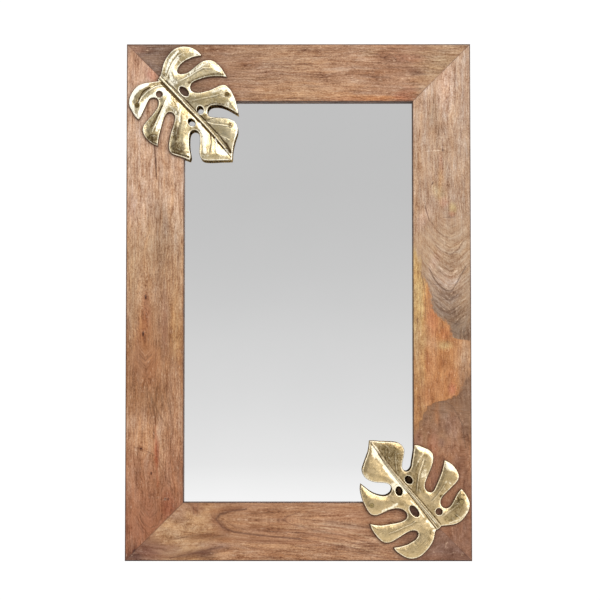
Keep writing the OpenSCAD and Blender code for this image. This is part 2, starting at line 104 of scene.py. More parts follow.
class Graph:
    def __init__(self, name):
        self.mat = bpy.data.materials.new(name)
        self.mat.use_nodes = True
        self.t = self.mat.node_tree
        self.t.nodes.clear()
        self._xyz = None

    def new(self, kind, **props):
        n = self.t.nodes.new(kind)
        for k, v in props.items():
            setattr(n, k, v)
        return n

    def put(self, sock, v):
        if isinstance(v, V):
            self.t.links.new(v.s, sock)
        elif isinstance(v, bpy.types.NodeSocket):
            self.t.links.new(v, sock)
        else:
            sock.default_value = v

    def math(self, op, a, b=None, c=None, clamp=False):
        n = self.new("ShaderNodeMath", operation=op, use_clamp=clamp)
        self.put(n.inputs[0], a)
        if b is not None:
            self.put(n.inputs[1], b)
        if c is not None:
            self.put(n.inputs[2], c)
        return V(self, n.outputs[0])

    def step(self, v, a, b, lo=0.0, hi=1.0):
        """lo where v is at a, hi where it is at b, smooth between."""
        n = self.new("ShaderNodeMapRange", interpolation_type="SMOOTHSTEP", clamp=False)
        self.put(n.inputs["Value"], v)
        n.inputs["From Min"].default_value = a
        n.inputs["From Max"].default_value = b
        n.inputs["To Min"].default_value = lo
        n.inputs["To Max"].default_value = hi
        return V(self, n.outputs[0])

    def xyz(self):
        """Object coordinates in millimetres."""
        if self._xyz is None:
            tc = self.new("ShaderNodeTexCoord")
            sep = self.new("ShaderNodeSeparateXYZ")
            self.t.links.new(tc.outputs["Object"], sep.inputs[0])
            self._xyz = tuple(V(self, o) * 1000.0 for o in sep.outputs)
        return self._xyz

    def vec(self, x, y, z):
        n = self.new("ShaderNodeCombineXYZ")
        for i, v in enumerate((x, y, z)):
            self.put(n.inputs[i], v)
        return n.outputs[0]

    def noise(self, v, scale=1.0, detail=2.0, rough=0.5, dist=0.0):
        n = self.new("ShaderNodeTexNoise", noise_dimensions="3D")
        self.put(n.inputs["Vector"], self.vec(*v) if isinstance(v, tuple) else v)
        n.inputs["Scale"].default_value = scale
        n.inputs["Detail"].default_value = detail
        n.inputs["Roughness"].default_value = rough
        n.inputs["Distortion"].default_value = dist
        return V(self, n.outputs[0])

    def sn(self, v, **k):
        return (self.noise(v, **k) - 0.5) * 2.0

    def mix(self, f, a, b, mode="MIX"):
        n = self.new("ShaderNodeMix", data_type="RGBA", blend_type=mode)
        n.clamp_factor = True
        self.put(n.inputs["Factor"], f)
        self.put([s for s in n.inputs if s.name == "A" and s.type == "RGBA"][0], a)
        self.put([s for s in n.inputs if s.name == "B" and s.type == "RGBA"][0], b)
        return [s for s in n.outputs if s.type == "RGBA"][0]

    def ramp(self, f, stops, mode="LINEAR"):
        n = self.new("ShaderNodeValToRGB")
        n.color_ramp.interpolation = mode
        els = n.color_ramp.elements
        while len(els) > 1:
            els.remove(els[-1])
        for i, (p, c) in enumerate(stops):
            e = els[0] if i == 0 else els.new(p)
            e.position = p
            e.color = c
        self.put(n.inputs[0], f)
        return n.outputs[0]

    def scale_col(self, col, k):
        """Colour times a float."""
        n = self.new("ShaderNodeVectorMath", operation="SCALE")
        self.put(n.inputs[0], col)
        self.put(n.inputs["Scale"], k)
        return n.outputs[0]

    def attr(self, name):
        n = self.new("ShaderNodeAttribute", attribute_type="GEOMETRY", attribute_name=name)
        return V(self, n.outputs["Fac"])

    def bump(self, h, strength, dist, normal=None):
        n = self.new("ShaderNodeBump")
        n.inputs["Strength"].default_value = strength
        n.inputs["Distance"].default_value = dist
        self.put(n.inputs["Height"], h)
        if normal is not None:
            self.t.links.new(normal, n.inputs["Normal"])
        return n.outputs[0]

    def bsdf(self, color, rough, normal=None, metallic=0.0, spec=0.5, ior=1.45, coat=0.0, coat_rough=0.1):
        b = self.new("ShaderNodeBsdfPrincipled")
        self.put(b.inputs["Base Color"], color)
        self.put(b.inputs["Roughness"], rough)
        self.put(b.inputs["Metallic"], metallic)
        b.inputs["IOR"].default_value = ior
        b.inputs["Specular IOR Level"].default_value = spec
        if coat:
            b.inputs["Coat Weight"].default_value = coat
            b.inputs["Coat Roughness"].default_value = coat_rough
        if normal is not None:
            self.t.links.new(normal, b.inputs["Normal"])
        out = self.new("ShaderNodeOutputMaterial")
        self.t.links.new(b.outputs[0], out.inputs[0])
        return self.mat


def group(name, ins, outs):
    t = bpy.data.node_groups.new(name, "ShaderNodeTree")
    for n, kind in ins:
        t.interface.new_socket(n, in_out="INPUT", socket_type="NodeSocket" + kind)
    for n, kind in outs:
        t.interface.new_socket(n, in_out="OUTPUT", socket_type="NodeSocket" + kind)
    return t, t.nodes.new("NodeGroupInput"), t.nodes.new("NodeGroupOutput")


def fmath(t, op, *v):
    n = t.nodes.new("ShaderNodeMath")
    n.operation = op
    for i, x in enumerate(v):
        if isinstance(x, (int, float)):
            n.inputs[i].default_value = x
        else:
            t.links.new(x, n.inputs[i])
    return n.outputs[0]


def make_blob_group():
    """Soft ellipse: 1 inside, 0 outside. Floats only and no clamp options, so that Cycles works the marks off one by one."""
    t, gi, go = group("soft_ellipse", [(n, "Float") for n in ("X", "Z", "Wobble", "AX", "AZ", "A0", "BX", "BZ", "B0", "Amount", "Out", "In")], [("Fac", "Float")])
    o = gi.outputs
    a = fmath(t, "MULTIPLY_ADD", o["X"], o["AX"], fmath(t, "MULTIPLY_ADD", o["Z"], o["AZ"], o["A0"]))
    b = fmath(t, "MULTIPLY_ADD", o["X"], o["BX"], fmath(t, "MULTIPLY_ADD", o["Z"], o["BZ"], o["B0"]))
    r = fmath(t, "SQRT", fmath(t, "MULTIPLY_ADD", a, a, fmath(t, "MULTIPLY", b, b)))
    r = fmath(t, "MULTIPLY_ADD", o["Wobble"], o["Amount"], r)
    m = t.nodes.new("ShaderNodeMapRange")
    m.interpolation_type = "SMOOTHSTEP"
    m.clamp = False
    t.links.new(r, m.inputs["Value"])
    t.links.new(o["Out"], m.inputs["From Min"])
    t.links.new(o["In"], m.inputs["From Max"])
    t.links.new(m.outputs[0], go.inputs[0])
    return t


def make_segment_group():
    """Distance to a segment, divided by a width that changes from one end to the other."""
    t, gi, go = group("segment", [(n, "Float") for n in ("X", "Z", "StartX", "StartZ", "InverseX", "InverseZ", "RunX", "RunZ", "Width", "Grow")], [("Distance", "Float")])
    o = gi.outputs
    x, z = fmath(t, "SUBTRACT", o["X"], o["StartX"]), fmath(t, "SUBTRACT", o["Z"], o["StartZ"])
    k = fmath(t, "MULTIPLY_ADD", x, o["InverseX"], fmath(t, "MULTIPLY", z, o["InverseZ"]))
    k = fmath(t, "MINIMUM", fmath(t, "MAXIMUM", k, 0.0), 1.0)
    x = fmath(t, "SUBTRACT", x, fmath(t, "MULTIPLY", k, o["RunX"]))
    z = fmath(t, "SUBTRACT", z, fmath(t, "MULTIPLY", k, o["RunZ"]))
    d = fmath(t, "SQRT", fmath(t, "MULTIPLY_ADD", x, x, fmath(t, "MULTIPLY", z, z)))
    t.links.new(fmath(t, "DIVIDE", d, fmath(t, "MULTIPLY_ADD", k, o["Grow"], o["Width"])), go.inputs[0])
    return t


BLOB, SEGMENT = make_blob_group(), make_segment_group()


class Marks:
    """Marks on a flat face. Places are given in pixels of the 600 x 600 picture."""

    def blob(self, px, py, rx, ry, turn=0.0, soft=0.5, wob=0.25, k=1.0):
        """k inside an ellipse of half-widths rx, ry pixels, turned by turn degrees, 0 outside."""
        return self.spot(*at(px, py, self.plane), rx * PX, ry * PX, turn, soft, wob, k)

    def spot(self, x, z, rx, ry, turn=0.0, soft=0.5, wob=0.25, k=1.0):
        """The same in mm."""
        g = self.g
        c, s = math.cos(math.radians(turn)), math.sin(math.radians(turn))
        n = g.new("ShaderNodeGroup", node_tree=BLOB)
        i = n.inputs
        for key, v in (("X", self.mx), ("Z", self.mz), ("Wobble", self.wob), ("AX", c / rx), ("AZ", s / rx), ("A0", -(x * c + z * s) / rx),
                       ("BX", -s / ry), ("BZ", c / ry), ("B0", (x * s - z * c) / ry), ("Amount", wob), ("Out", 1.0 + soft), ("In", 1.0 - soft)):
            g.put(i[key], v)
        return V(g, n.outputs[0]) if k == 1.0 else V(g, n.outputs[0]) * k

    def line(self, pts, width, soft=1.0, wob=0.0):
        """1 on a line through pixel points, fading to 0 at width pixels (a number, or one for each end)."""
        g = self.g
        best = None
        P = [at(*p, self.plane) for p in pts]
        m = len(P) - 1
        w = width if isinstance(width, (tuple, list)) else (width, width)
        for j in range(m):
            d = self.segment(*P[j], *P[j + 1], (w[0] + (w[1] - w[0]) * j / m) * PX, (w[1] - w[0]) / m * PX)
            best = d if best is None else g.math("MINIMUM", best, d)
        if wob:
            best = g.math("MULTIPLY_ADD", self.wob, wob, best)
        return g.step(best, 1.0, 1.0 - soft)

    def segment(self, x0, z0, x1, z1, width, grow=0.0):
        dx, dz = x1 - x0, z1 - z0
        L2 = dx * dx + dz * dz
        n = self.g.new("ShaderNodeGroup", node_tree=SEGMENT)
        for key, v in (("X", self.mx), ("Z", self.mz), ("StartX", x0), ("StartZ", z0), ("InverseX", dx / L2), ("InverseZ", dz / L2),
                       ("RunX", dx), ("RunZ", dz), ("Width", width), ("Grow", grow)):
            self.g.put(n.inputs[key], v)
        return V(self.g, n.outputs[0])


def wear(obj, mat):
    obj.data.materials.clear()
    obj.data.materials.append(mat)
    for p in obj.data.polygons:
        p.material_index = 0


# outlines of the two leaves in mm from their centres; 1 marks a sharp point
UPPER_EDGE = [
    (-50, 40, 1), (-46.5, 45, 1), (-44.5, 49, 0), (-43, 55, 0), (-42, 61, 0), (-39.5, 69, 0),
    (-35.5, 77, 0), (-30, 85, 0), (-23, 92, 0), (-15, 96.5, 0), (-6, 98.5, 0), (3, 98, 0),
    (11, 96, 0), (19, 91.5, 0), (24.5, 86.5, 0), (27.5, 82, 1),
    (20, 81, 0), (12, 79, 0), (4, 75.5, 0), (-3, 71.5, 0), (-9.5, 66, 0), (-13.5, 60, 0),
    (-15, 54, 0), (-12.5, 50, 0), (-6, 49.3, 0), (2, 51.3, 0),
    (9, 56, 0), (16, 62, 0), (23, 68, 0), (31, 72.5, 0), (40, 74.5, 0), (48, 73, 0),
    (55, 68.5, 0), (61.5, 62, 0), (67, 54, 0), (70.5, 47.5, 0), (72.5, 43.5, 1),
    (65, 45, 0), (54, 45.2, 0), (43, 44.5, 0), (33, 42.5, 0), (24, 39.5, 0), (16, 36.3, 0),
    (10.5, 32.5, 0), (8, 27.5, 0), (8.5, 22, 0), (12, 17.8, 0), (19, 16, 0), (28, 16.8, 0),
    (37, 19, 0), (46, 22, 0), (55, 26.5, 0), (62, 29.5, 0), (68.5, 30, 0), (74.5, 26.5, 0),
    (79.5, 20.5, 0), (84, 12, 0), (87.5, 4, 0), (90, -5, 0), (92, -14, 0), (93, -22, 1),
    (87, -18.5, 0), (79.5, -14, 0), (71, -9.8, 0), (62, -6.8, 0), (53, -5.8, 0), (45, -7, 0),
    (40, -11, 0), (38, -17, 0), (39.5, -23, 0), (44, -26.5, 0), (52, -27.8, 0),
    (62, -28.2, 0), (71, -29, 0), (79, -31.3, 0), (85.5, -35, 0), (90, -41, 0), (92, -48, 0),
    (91.3, -56, 0), (88.5, -64, 0), (86, -73, 0), (84, -82, 0), (82.8, -91, 0), (82.5, -98, 0),
    (82, -104, 1),
    (72, -104.3, 0), (61, -104.5, 0), (50, -105, 0), (40, -105, 0), (32, -104, 0),
    (27, -100.5, 0), (24.5, -94, 0), (24, -85, 0), (24.8, -75, 0), (25, -66, 0), (24, -58, 0),
    (20.5, -52.5, 0), (15, -50.5, 0), (10, -52.5, 0), (7, -57.5, 0), (6, -65, 0), (6, -75, 0),
    (6.8, -85, 0), (8.3, -93, 0), (8.8, -99, 0), (7, -104, 1), (0, -101.5, 0), (-8, -98.5, 0),
    (-16, -96, 0), (-23, -93.5, 0), (-28, -89, 0), (-30, -82, 0), (-29.8, -74, 0),
    (-28.5, -66, 0), (-26.5, -57, 0), (-24, -49, 0), (-21.5, -41, 0), (-19.5, -33, 0),
    (-19.5, -26, 0), (-23, -20.5, 0), (-28, -18.8, 0), (-33, -20.5, 0), (-37, -26, 0),
    (-40, -34, 0), (-42.5, -43, 0), (-45, -52, 0), (-47.3, -62, 0), (-48.8, -71, 0),
    (-49.5, -79, 1), (-56, -76.5, 0), (-63, -72.5, 0), (-69.5, -66.5, 0), (-74, -60, 0),
    (-76.5, -52, 0), (-76, -45, 0), (-72.5, -38.5, 0), (-66.5, -31.5, 0), (-60, -24, 0),
    (-54, -16.5, 0), (-49.8, -9, 0), (-48.2, -2, 0), (-50, 4, 0), (-54, 6.8, 0),
    (-59.5, 7, 0), (-64.5, 4.5, 0),
    (-68, -1, 0), (-71.5, -9, 0), (-75.5, -18, 0), (-79.5, -26, 0), (-83, -32, 1),
    (-87.5, -28.5, 0), (-92, -22.5, 0), (-96, -15.5, 0), (-99.5, -8.5, 0), (-100.8, -1, 0),
    (-99.5, 7, 0), (-96.3, 14.5, 0), (-91.5, 22, 0), (-85.5, 28, 0), (-78, 31.5, 0),
    (-70, 33.5, 0), (-61, 35, 0), (-53.5, 36, 0), (-49, 37, 1)]

LOWER_EDGE = [
    (-51.5, 40.7, 1), (-47, 45.5, 1), (-42, 48, 1), (-40.3, 52, 0), (-39.5, 58, 0),
    (-37.5, 65, 0), (-33.5, 73, 0), (-28, 80.5, 0), (-21.5, 87.5, 0), (-14, 93.5, 0),
    (-5, 97, 0), (3, 97.7, 0), (11, 95.8, 0), (19, 91.5, 0), (26, 86.5, 0), (30.5, 82, 0),
    (32.3, 78.3, 1), (25, 77.2, 0), (17, 75.3, 0), (9, 72.8, 0), (2, 69, 0), (-4.5, 65, 0),
    (-9, 60, 0), (-10.7, 54.5, 0), (-8, 49.8, 0), (-2, 48.5, 0), (5, 50.3, 0), (12, 54, 0),
    (20, 59, 0), (28, 64, 0), (36, 68.5, 0), (44, 70.2, 0), (51, 69, 0), (57, 64.5, 0),
    (62.5, 58.5, 0), (67.5, 52, 0), (71.5, 45, 0), (74, 37, 1), (66, 38.6, 0),
    (57, 39.4, 0), (48, 38.8, 0), (39, 37, 0), (30, 35.7, 0), (21, 33.5, 0), (14, 30.5, 0),
    (9.7, 26.5, 0), (8.8, 21.5, 0), (11.5, 16, 0), (17.5, 11.8, 0), (25, 10, 0), (33, 10.8, 0),
    (41, 13, 0), (49, 16.7, 0), (57, 20.3, 0), (64, 22.3, 0), (70, 21.5, 0), (75, 18, 0),
    (79.5, 11.5, 0), (83.5, 4, 0), (87, -4, 0), (89.5, -13, 0), (91, -22, 0), (90, -32, 1),
    (84.5, -28, 0), (78, -22.8, 0), (71, -18, 0), (63, -14.3, 0), (55, -12.3, 0),
    (47, -12, 0), (41, -14.7, 0), (37, -19, 0), (35.7, -25, 0), (39, -31, 0), (45, -34, 0),
    (53, -35, 0),
    (62, -35.5, 0), (70, -37, 0), (77, -40, 0), (83, -44.5, 0), (86.7, -51, 0),
    (87.5, -58, 0), (85.5, -65, 0), (82.7, -73, 0), (79.8, -81, 0), (77, -89, 0),
    (75.5, -97, 0), (75, -103, 0), (74.5, -108, 1), (66, -108, 0), (56, -107.3, 0),
    (46, -107, 0), (36, -106.5, 0), (27, -105.5, 0), (20, -102.5, 0), (15.5, -97.5, 0),
    (13.5, -91, 0), (14.3, -83, 0), (16, -75, 0), (17.3, -67, 0), (17, -60.5, 0),
    (13.5, -56, 0), (9, -54.8, 0), (4.5, -57.5, 0), (1.3, -63, 0),
    (0, -71, 0), (-1.5, -80, 0), (-2.8, -89, 0), (-3.7, -96, 0), (-4, -101, 1),
    (-11, -100.8, 0), (-18, -98, 0), (-26, -95, 0), (-32.5, -91, 0), (-36.7, -85, 0),
    (-37.6, -77, 0), (-36, -68, 0), (-33, -59, 0), (-29.5, -51, 0), (-26, -43, 0),
    (-23.3, -35, 0), (-22.5, -28, 0), (-25, -22.3, 0), (-30, -18.8, 0), (-35.5, -19.3, 0),
    (-39.5, -24, 0),
    (-43, -31.5, 0), (-46.5, -39.5, 0), (-50, -48, 0), (-53, -57, 0), (-55.3, -66, 0),
    (-57, -75, 1), (-63.5, -72, 0), (-70.5, -67, 0), (-76, -61, 0), (-80.5, -53.5, 0),
    (-82.5, -46, 0), (-80.5, -39.5, 0), (-75.5, -33, 0), (-68.5, -26, 0), (-61.5, -19, 0),
    (-55, -12.5, 0), (-51, -6, 0), (-50, 0, 0), (-52, 5.8, 0), (-57, 8.7, 0), (-62.5, 8.6, 0),
    (-67, 5.5, 0), (-70.8, 0, 0), (-74.5, -7, 0), (-78.5, -14.5, 0), (-82.5, -20.5, 0),
    (-86.5, -24.5, 1), (-91, -20, 0), (-95, -14, 0), (-98.5, -7.5, 0), (-101, 0, 0),
    (-100.8, 8, 0), (-98.3, 15.5, 0), (-94, 22.5, 0), (-88.5, 29.5, 0), (-82, 34.5, 0),
    (-74, 37.8, 0), (-65, 39.3, 0), (-57, 40, 0)]
# centre, +1 or -1 for turned half round, outline, pierced holes (u, v, half axes, turn)
LEAF_UP = ((-199.5, 353.5), 1.0, UPPER_EDGE, [(-47, 13, 5.8, 5.8, 0), (-3.3, 18, 10.2, 5.9, -45), (25.5, -15, 7, 5.6, -70), (10.2, -37.2, 7.6, 5.6, -50)])
LEAF_LOW = ((199.5, -354.5), -1.0, LOWER_EDGE, [(-47, 15.5, 5.8, 5.8, 0), (-3.8, 14.7, 11.2, 6.2, -52), (23, -20.5, 8, 6, -75), (6, -40, 7.6, 5.8, -50)])


# -------------------------------------------------------------------- wood

class Wood(Marks):
    """Wood of one frame member. along is its grain axis, W the distance from the sight edge, D the depth
    from the front face. Places on the face are given in pixels of the 600 x 600 picture."""

    def __init__(self, name, upright, sign, seed):
        self.g = g = Graph(name)
        self.leaf_up = upright == (sign < 0)
        self.X, self.Y, self.Z = g.xyz()
        self.D = self.Y + 31.0
        self.upright = upright
        if upright:
            self.A = self.Z
            self.W = self.X * sign - SIGHT_X
        else:
            self.A = self.X
            self.W = self.Z * sign - SIGHT_Z
        self.plane = FRONT_Y
        self.seed = seed
        # wobble shared by all the marks
        k = 1.0 / 11.0
        self.wob = g.sn((self.X * (k * (2.0 if upright else 0.7)), self.D * 0.05 + seed, self.Z * (k * (0.7 if upright else 2.0))), detail=3.0, rough=0.6)
        # places for the marks; the trace of wobble only makes them wait for it, which keeps the shader small
        self.mx = g.math("MULTIPLY_ADD", self.wob, 1e-5, self.X)
        self.mz = g.math("MULTIPLY_ADD", self.wob, 1e-5, self.Z)

    def curve_side(self, pts, soft=4.0, wob=6.0, by_z=True):
        """Signed side of a boundary drawn through pixel points: 1 on the +X side (or the +Z side)."""
        g = self.g
        P = [at(*p) for p in pts]
        n = g.new("ShaderNodeFloatCurve")
        cm = n.mapping
        cu = cm.curves[0]
        if by_z:
            P.sort(key=lambda p: p[1])
            lo, hi = P[0][1], P[-1][1]
            key = [((z - lo) / (hi - lo), x) for x, z in P]
            var = self.Z
        else:
            P.sort(key=lambda p: p[0])
            lo, hi = P[0][0], P[-1][0]
            key = [((x - lo) / (hi - lo), z) for x, z in P]
            var = self.X
        vals = [v for _, v in key]
        v0, v1 = min(vals) - 1.0, max(vals) + 1.0
        for i, (k, v) in enumerate(key):
            y = (v - v0) / (v1 - v0)
            if i == 0:
                cu.points[0].location = (k, y)
            elif i == len(key) - 1:
                cu.points[-1].location = (k, y)
            else:
                cu.points.new(k, y)
        cm.extend = "HORIZONTAL"
        cm.update()
        g.put(n.inputs["Value"], (var - lo) * (1.0 / (hi - lo)))
        edge = V(g, n.outputs[0]) * (v1 - v0) + v0
        d = (self.X if by_z else self.Z) - edge
        if wob:
            d = g.math("MULTIPLY_ADD", self.wob, wob, d)
            fray = g.noise((self.X * 0.16, self.D * 0.1, self.Z * 0.10), detail=3.0, rough=0.7)
            d = g.math("MULTIPLY_ADD", fray - 0.5, wob * 2.6, d)
        return g.step(d, -soft, soft), d

    def painted_leaf_shade(self, col, leaf):
        """Painted shade in the corner between the wood and the edge and holes of a leaf, where the leaf's shadow falls.
        """
        g = self.g
        (cx, cz), s, edge, holes = leaf
        # the painted shade is set a little to the lower left, where the leaf's shadow falls
        P = [(cx + s * u - 0.4, cz + s * v - 0.7) for u, v, _ in edge]

        def here(x, z, lap):
            m = (abs(z) - SIGHT_Z) - (abs(x) - SIGHT_X)
            if max(abs(z) - SIGHT_Z, abs(x) - SIGHT_X) < -3:
                return False
            return m < lap if self.upright else m > -lap

        best = None
        for a, b in zip(P, P[1:] + P[:1]):
            if here(*a, 6) or here(*b, 6):
                d = self.segment(*a, *b, 1.0)
                best = d if best is None else g.math("MINIMUM", best, d)
        face = g.step(self.D, 1.6, 0.6)
        # painted shade: a soft brown halo and a dark line close to the leaf's edge
        col = g.mix(g.step(best, 6.5, 0.5) * (face * 0.32), col, lin((92, 60, 44)))
        col = g.mix(g.step(best, 2.2, 0.4) * face * g.step(self.wob, -0.7, 0.5, 0.40, 0.75), col, lin((60, 36, 26)))
        # painted shade in the leaf's holes
        for u, v, a, b, turn in holes:
            if here(cx + s * u, cz + s * v, 8):
                col = g.mix(self.spot(cx + s * u, cz + s * v, a * 1.15, b * 1.15, turn, soft=0.25, wob=0.1) * (face * (0.40 if a == b else 0.62)), col, lin((58, 38, 30)))
        return col

    def along(self, stops):
        """Colour along the member, from (pixel, colour) stops."""
        g = self.g
        pos = []
        for p, c in stops:
            x, z = at(p, 300) if not self.upright else at(300, p)
            pos.append((z if self.upright else x, lin(c)))
        pos.sort(key=lambda q: q[0])
        lo, hi = pos[0][0], pos[-1][0]
        f = (self.A - lo) * (1.0 / (hi - lo)) + self.wob * 0.02
        return g.ramp(f, [((a - lo) / (hi - lo), c) for a, c in pos], "EASE")


def finish_wood(w, col, phi, fine=1.0, pore=1.0, broad=1.0, dark=(88, 54, 36), light=(238, 204, 172), tint=(0.69, 0.695, 0.65), other=None, outline=0.6, short=1.3):
    """Fibre, streaks, pores and mitre lines over the member's own colour, painted shade along its arrises and round the
    leaf, and its surface.
    phi runs across the grain. other is (across, along, how much) of a figure laid over the straight grain. outline sets
    the strength of the painted shade line on the outer edge."""
    g = w.g
    D, A, s = w.D, w.A, w.seed

    def tex(across, deep, length, shift, detail, rough):
        n = g.noise((phi * across, D * deep, A * (length * short) + s * shift), detail=detail, rough=rough)
        if other is None:
            return n
        n2 = g.noise((other[0] * across, D * deep, other[1] * length + s * shift + 7.0), detail=detail, rough=rough)
        return g.math("MULTIPLY_ADD", n2 - n, other[2], n)

    b1 = tex(0.075, 0.05, 0.0045, 1.0, 2.0, 0.6)
    b2 = tex(0.30, 0.16, 0.010, 1.7, 2.0, 0.65)
    b3 = tex(0.46, 0.3, 0.035, 2.3, 2.0, 0.7)
    b4 = tex(0.50, 0.5, 0.20, 3.3, 2.0, 0.75)
    b0 = tex(0.060, 0.04, 0.024, 8.1, 3.0, 0.62)
    lum = g.math("MULTIPLY_ADD", b0 - 0.5, 1.5 * broad, 1.03)
    lum = g.math("MULTIPLY_ADD", b1 - 0.5, 1.05 * broad, lum)
    lum = g.math("MULTIPLY_ADD", b2 - 0.5, 1.40 * broad, lum)
    lum = g.math("MULTIPLY_ADD", b3 - 0.5, 1.65 * fine, lum)
    lum = g.math("MULTIPLY_ADD", b4 - 0.5, 2.00 * fine, lum)
    lum = g.math("MAXIMUM", lum, 0.25)
    hue = tex(0.11, 0.05, 0.011, 6.1, 3.0, 0.65) - 0.5
    gain = g.vec(g.math("POWER", lum, 0.72) * g.math("MULTIPLY_ADD", hue, 0.34, 1.0), lum,
                 g.math("POWER", lum, 1.25) * g.math("MULTIPLY_ADD", hue, -0.55, 1.0))
    n = g.new("ShaderNodeVectorMath", operation="MULTIPLY")
    g.put(n.inputs[0], col)
    g.put(n.inputs[1], gain)
    col = g.mix(1.0, n.outputs[0], tuple(tint) + (1.0,), "MULTIPLY")
    # darker lines where the bands are at their lowest
    band = g.step(b2, 0.40, 0.26) * (0.40 * broad)
    col = g.mix(band, col, lin(dark))
    # silky light flecks
    fl = tex(0.40, 0.3, 0.06, 3.1, 2.0, 0.7)
    col = g.mix(g.step(fl, 0.56, 0.74) * (0.34 * fine), col, lin(light))
    # open pores, short dark dashes with the grain
    p1 = tex(0.62, 1.1, 0.10, 4.7, 1.5, 0.7)
    dash = g.step(p1, 0.56, 0.70)
    col = g.mix(dash * (0.50 * pore), col, lin(dark))
    p2 = tex(1.5, 2.6, 0.22, 5.9, 1.0, 0.6)
    dash2 = g.step(p2, 0.58, 0.70)
    col = g.mix(dash2 * (0.40 * pore), col, lin(dark))
    # the glued mitres show as a thin dark line, darker where glue or dirt sits
    ax, az = g.math("ABSOLUTE", w.X), g.math("ABSOLUTE", w.Z)
    m = g.math("ABSOLUTE", (az - SIGHT_Z) - (ax - SIGHT_X))
    grime_and_shade_noise = g.noise((w.X * 0.03, w.D * 0.1, w.Z * 0.03), detail=2.0)
    seam = g.step(m, 1.5, 0.2) * g.step(grime_and_shade_noise, 0.3, 0.6, 0.25, 0.65)
    col = g.mix(seam, col, lin((74, 48, 38)))
    halo = g.step(m, 7.0, 0.5) * 0.06
    col = g.mix(halo, col, lin((110, 74, 58)))
    # painted shade along the eased arrises of the sight edge and the outer edge, patchy
    from_middle = g.math("ABSOLUTE", w.W - 51.25)
    rim = g.step(from_middle, 48.8, 51.0) * g.step(grime_and_shade_noise, 0.3, 0.7, 0.30, 0.62)
    col = g.mix(rim, col, lin((92, 62, 50)))
    # and a thin dark painted shade line right at the arrises, stronger on the outer edge by outline
    line = g.step(from_middle, 49.9, 50.9) * g.step(grime_and_shade_noise, 0.25, 0.6, 0.45, 0.8)
    line = g.math("MAXIMUM", line, g.step(w.W, 99.9, 101.0) * g.step(grime_and_shade_noise, 0.25, 0.6, 0.75 * outline, outline))
    col = g.mix(line, col, lin((50, 30, 24)))
    # painted shade round the leaf's edge and in its holes
    col = w.painted_leaf_shade(col, LEAF_UP if w.leaf_up else LEAF_LOW)
    # surface
    rough = g.math("MULTIPLY_ADD", b2, 0.16, 0.50)
    rough = g.math("MULTIPLY_ADD", dash, 0.12, rough)
    h = g.math("MULTIPLY_ADD", b3, 0.35, dash * -0.5)
    h = g.math("MULTIPLY_ADD", dash2, -0.35, h)
    nor = g.bump(h, 0.35, 0.0006)
    slow = g.noise((w.X * 0.02, w.D * 0.02, w.Z * 0.02), detail=1.0)
    nor = g.bump(slow, 0.12, 0.004, nor)
    return g.bsdf(col, rough, nor, spec=0.28)


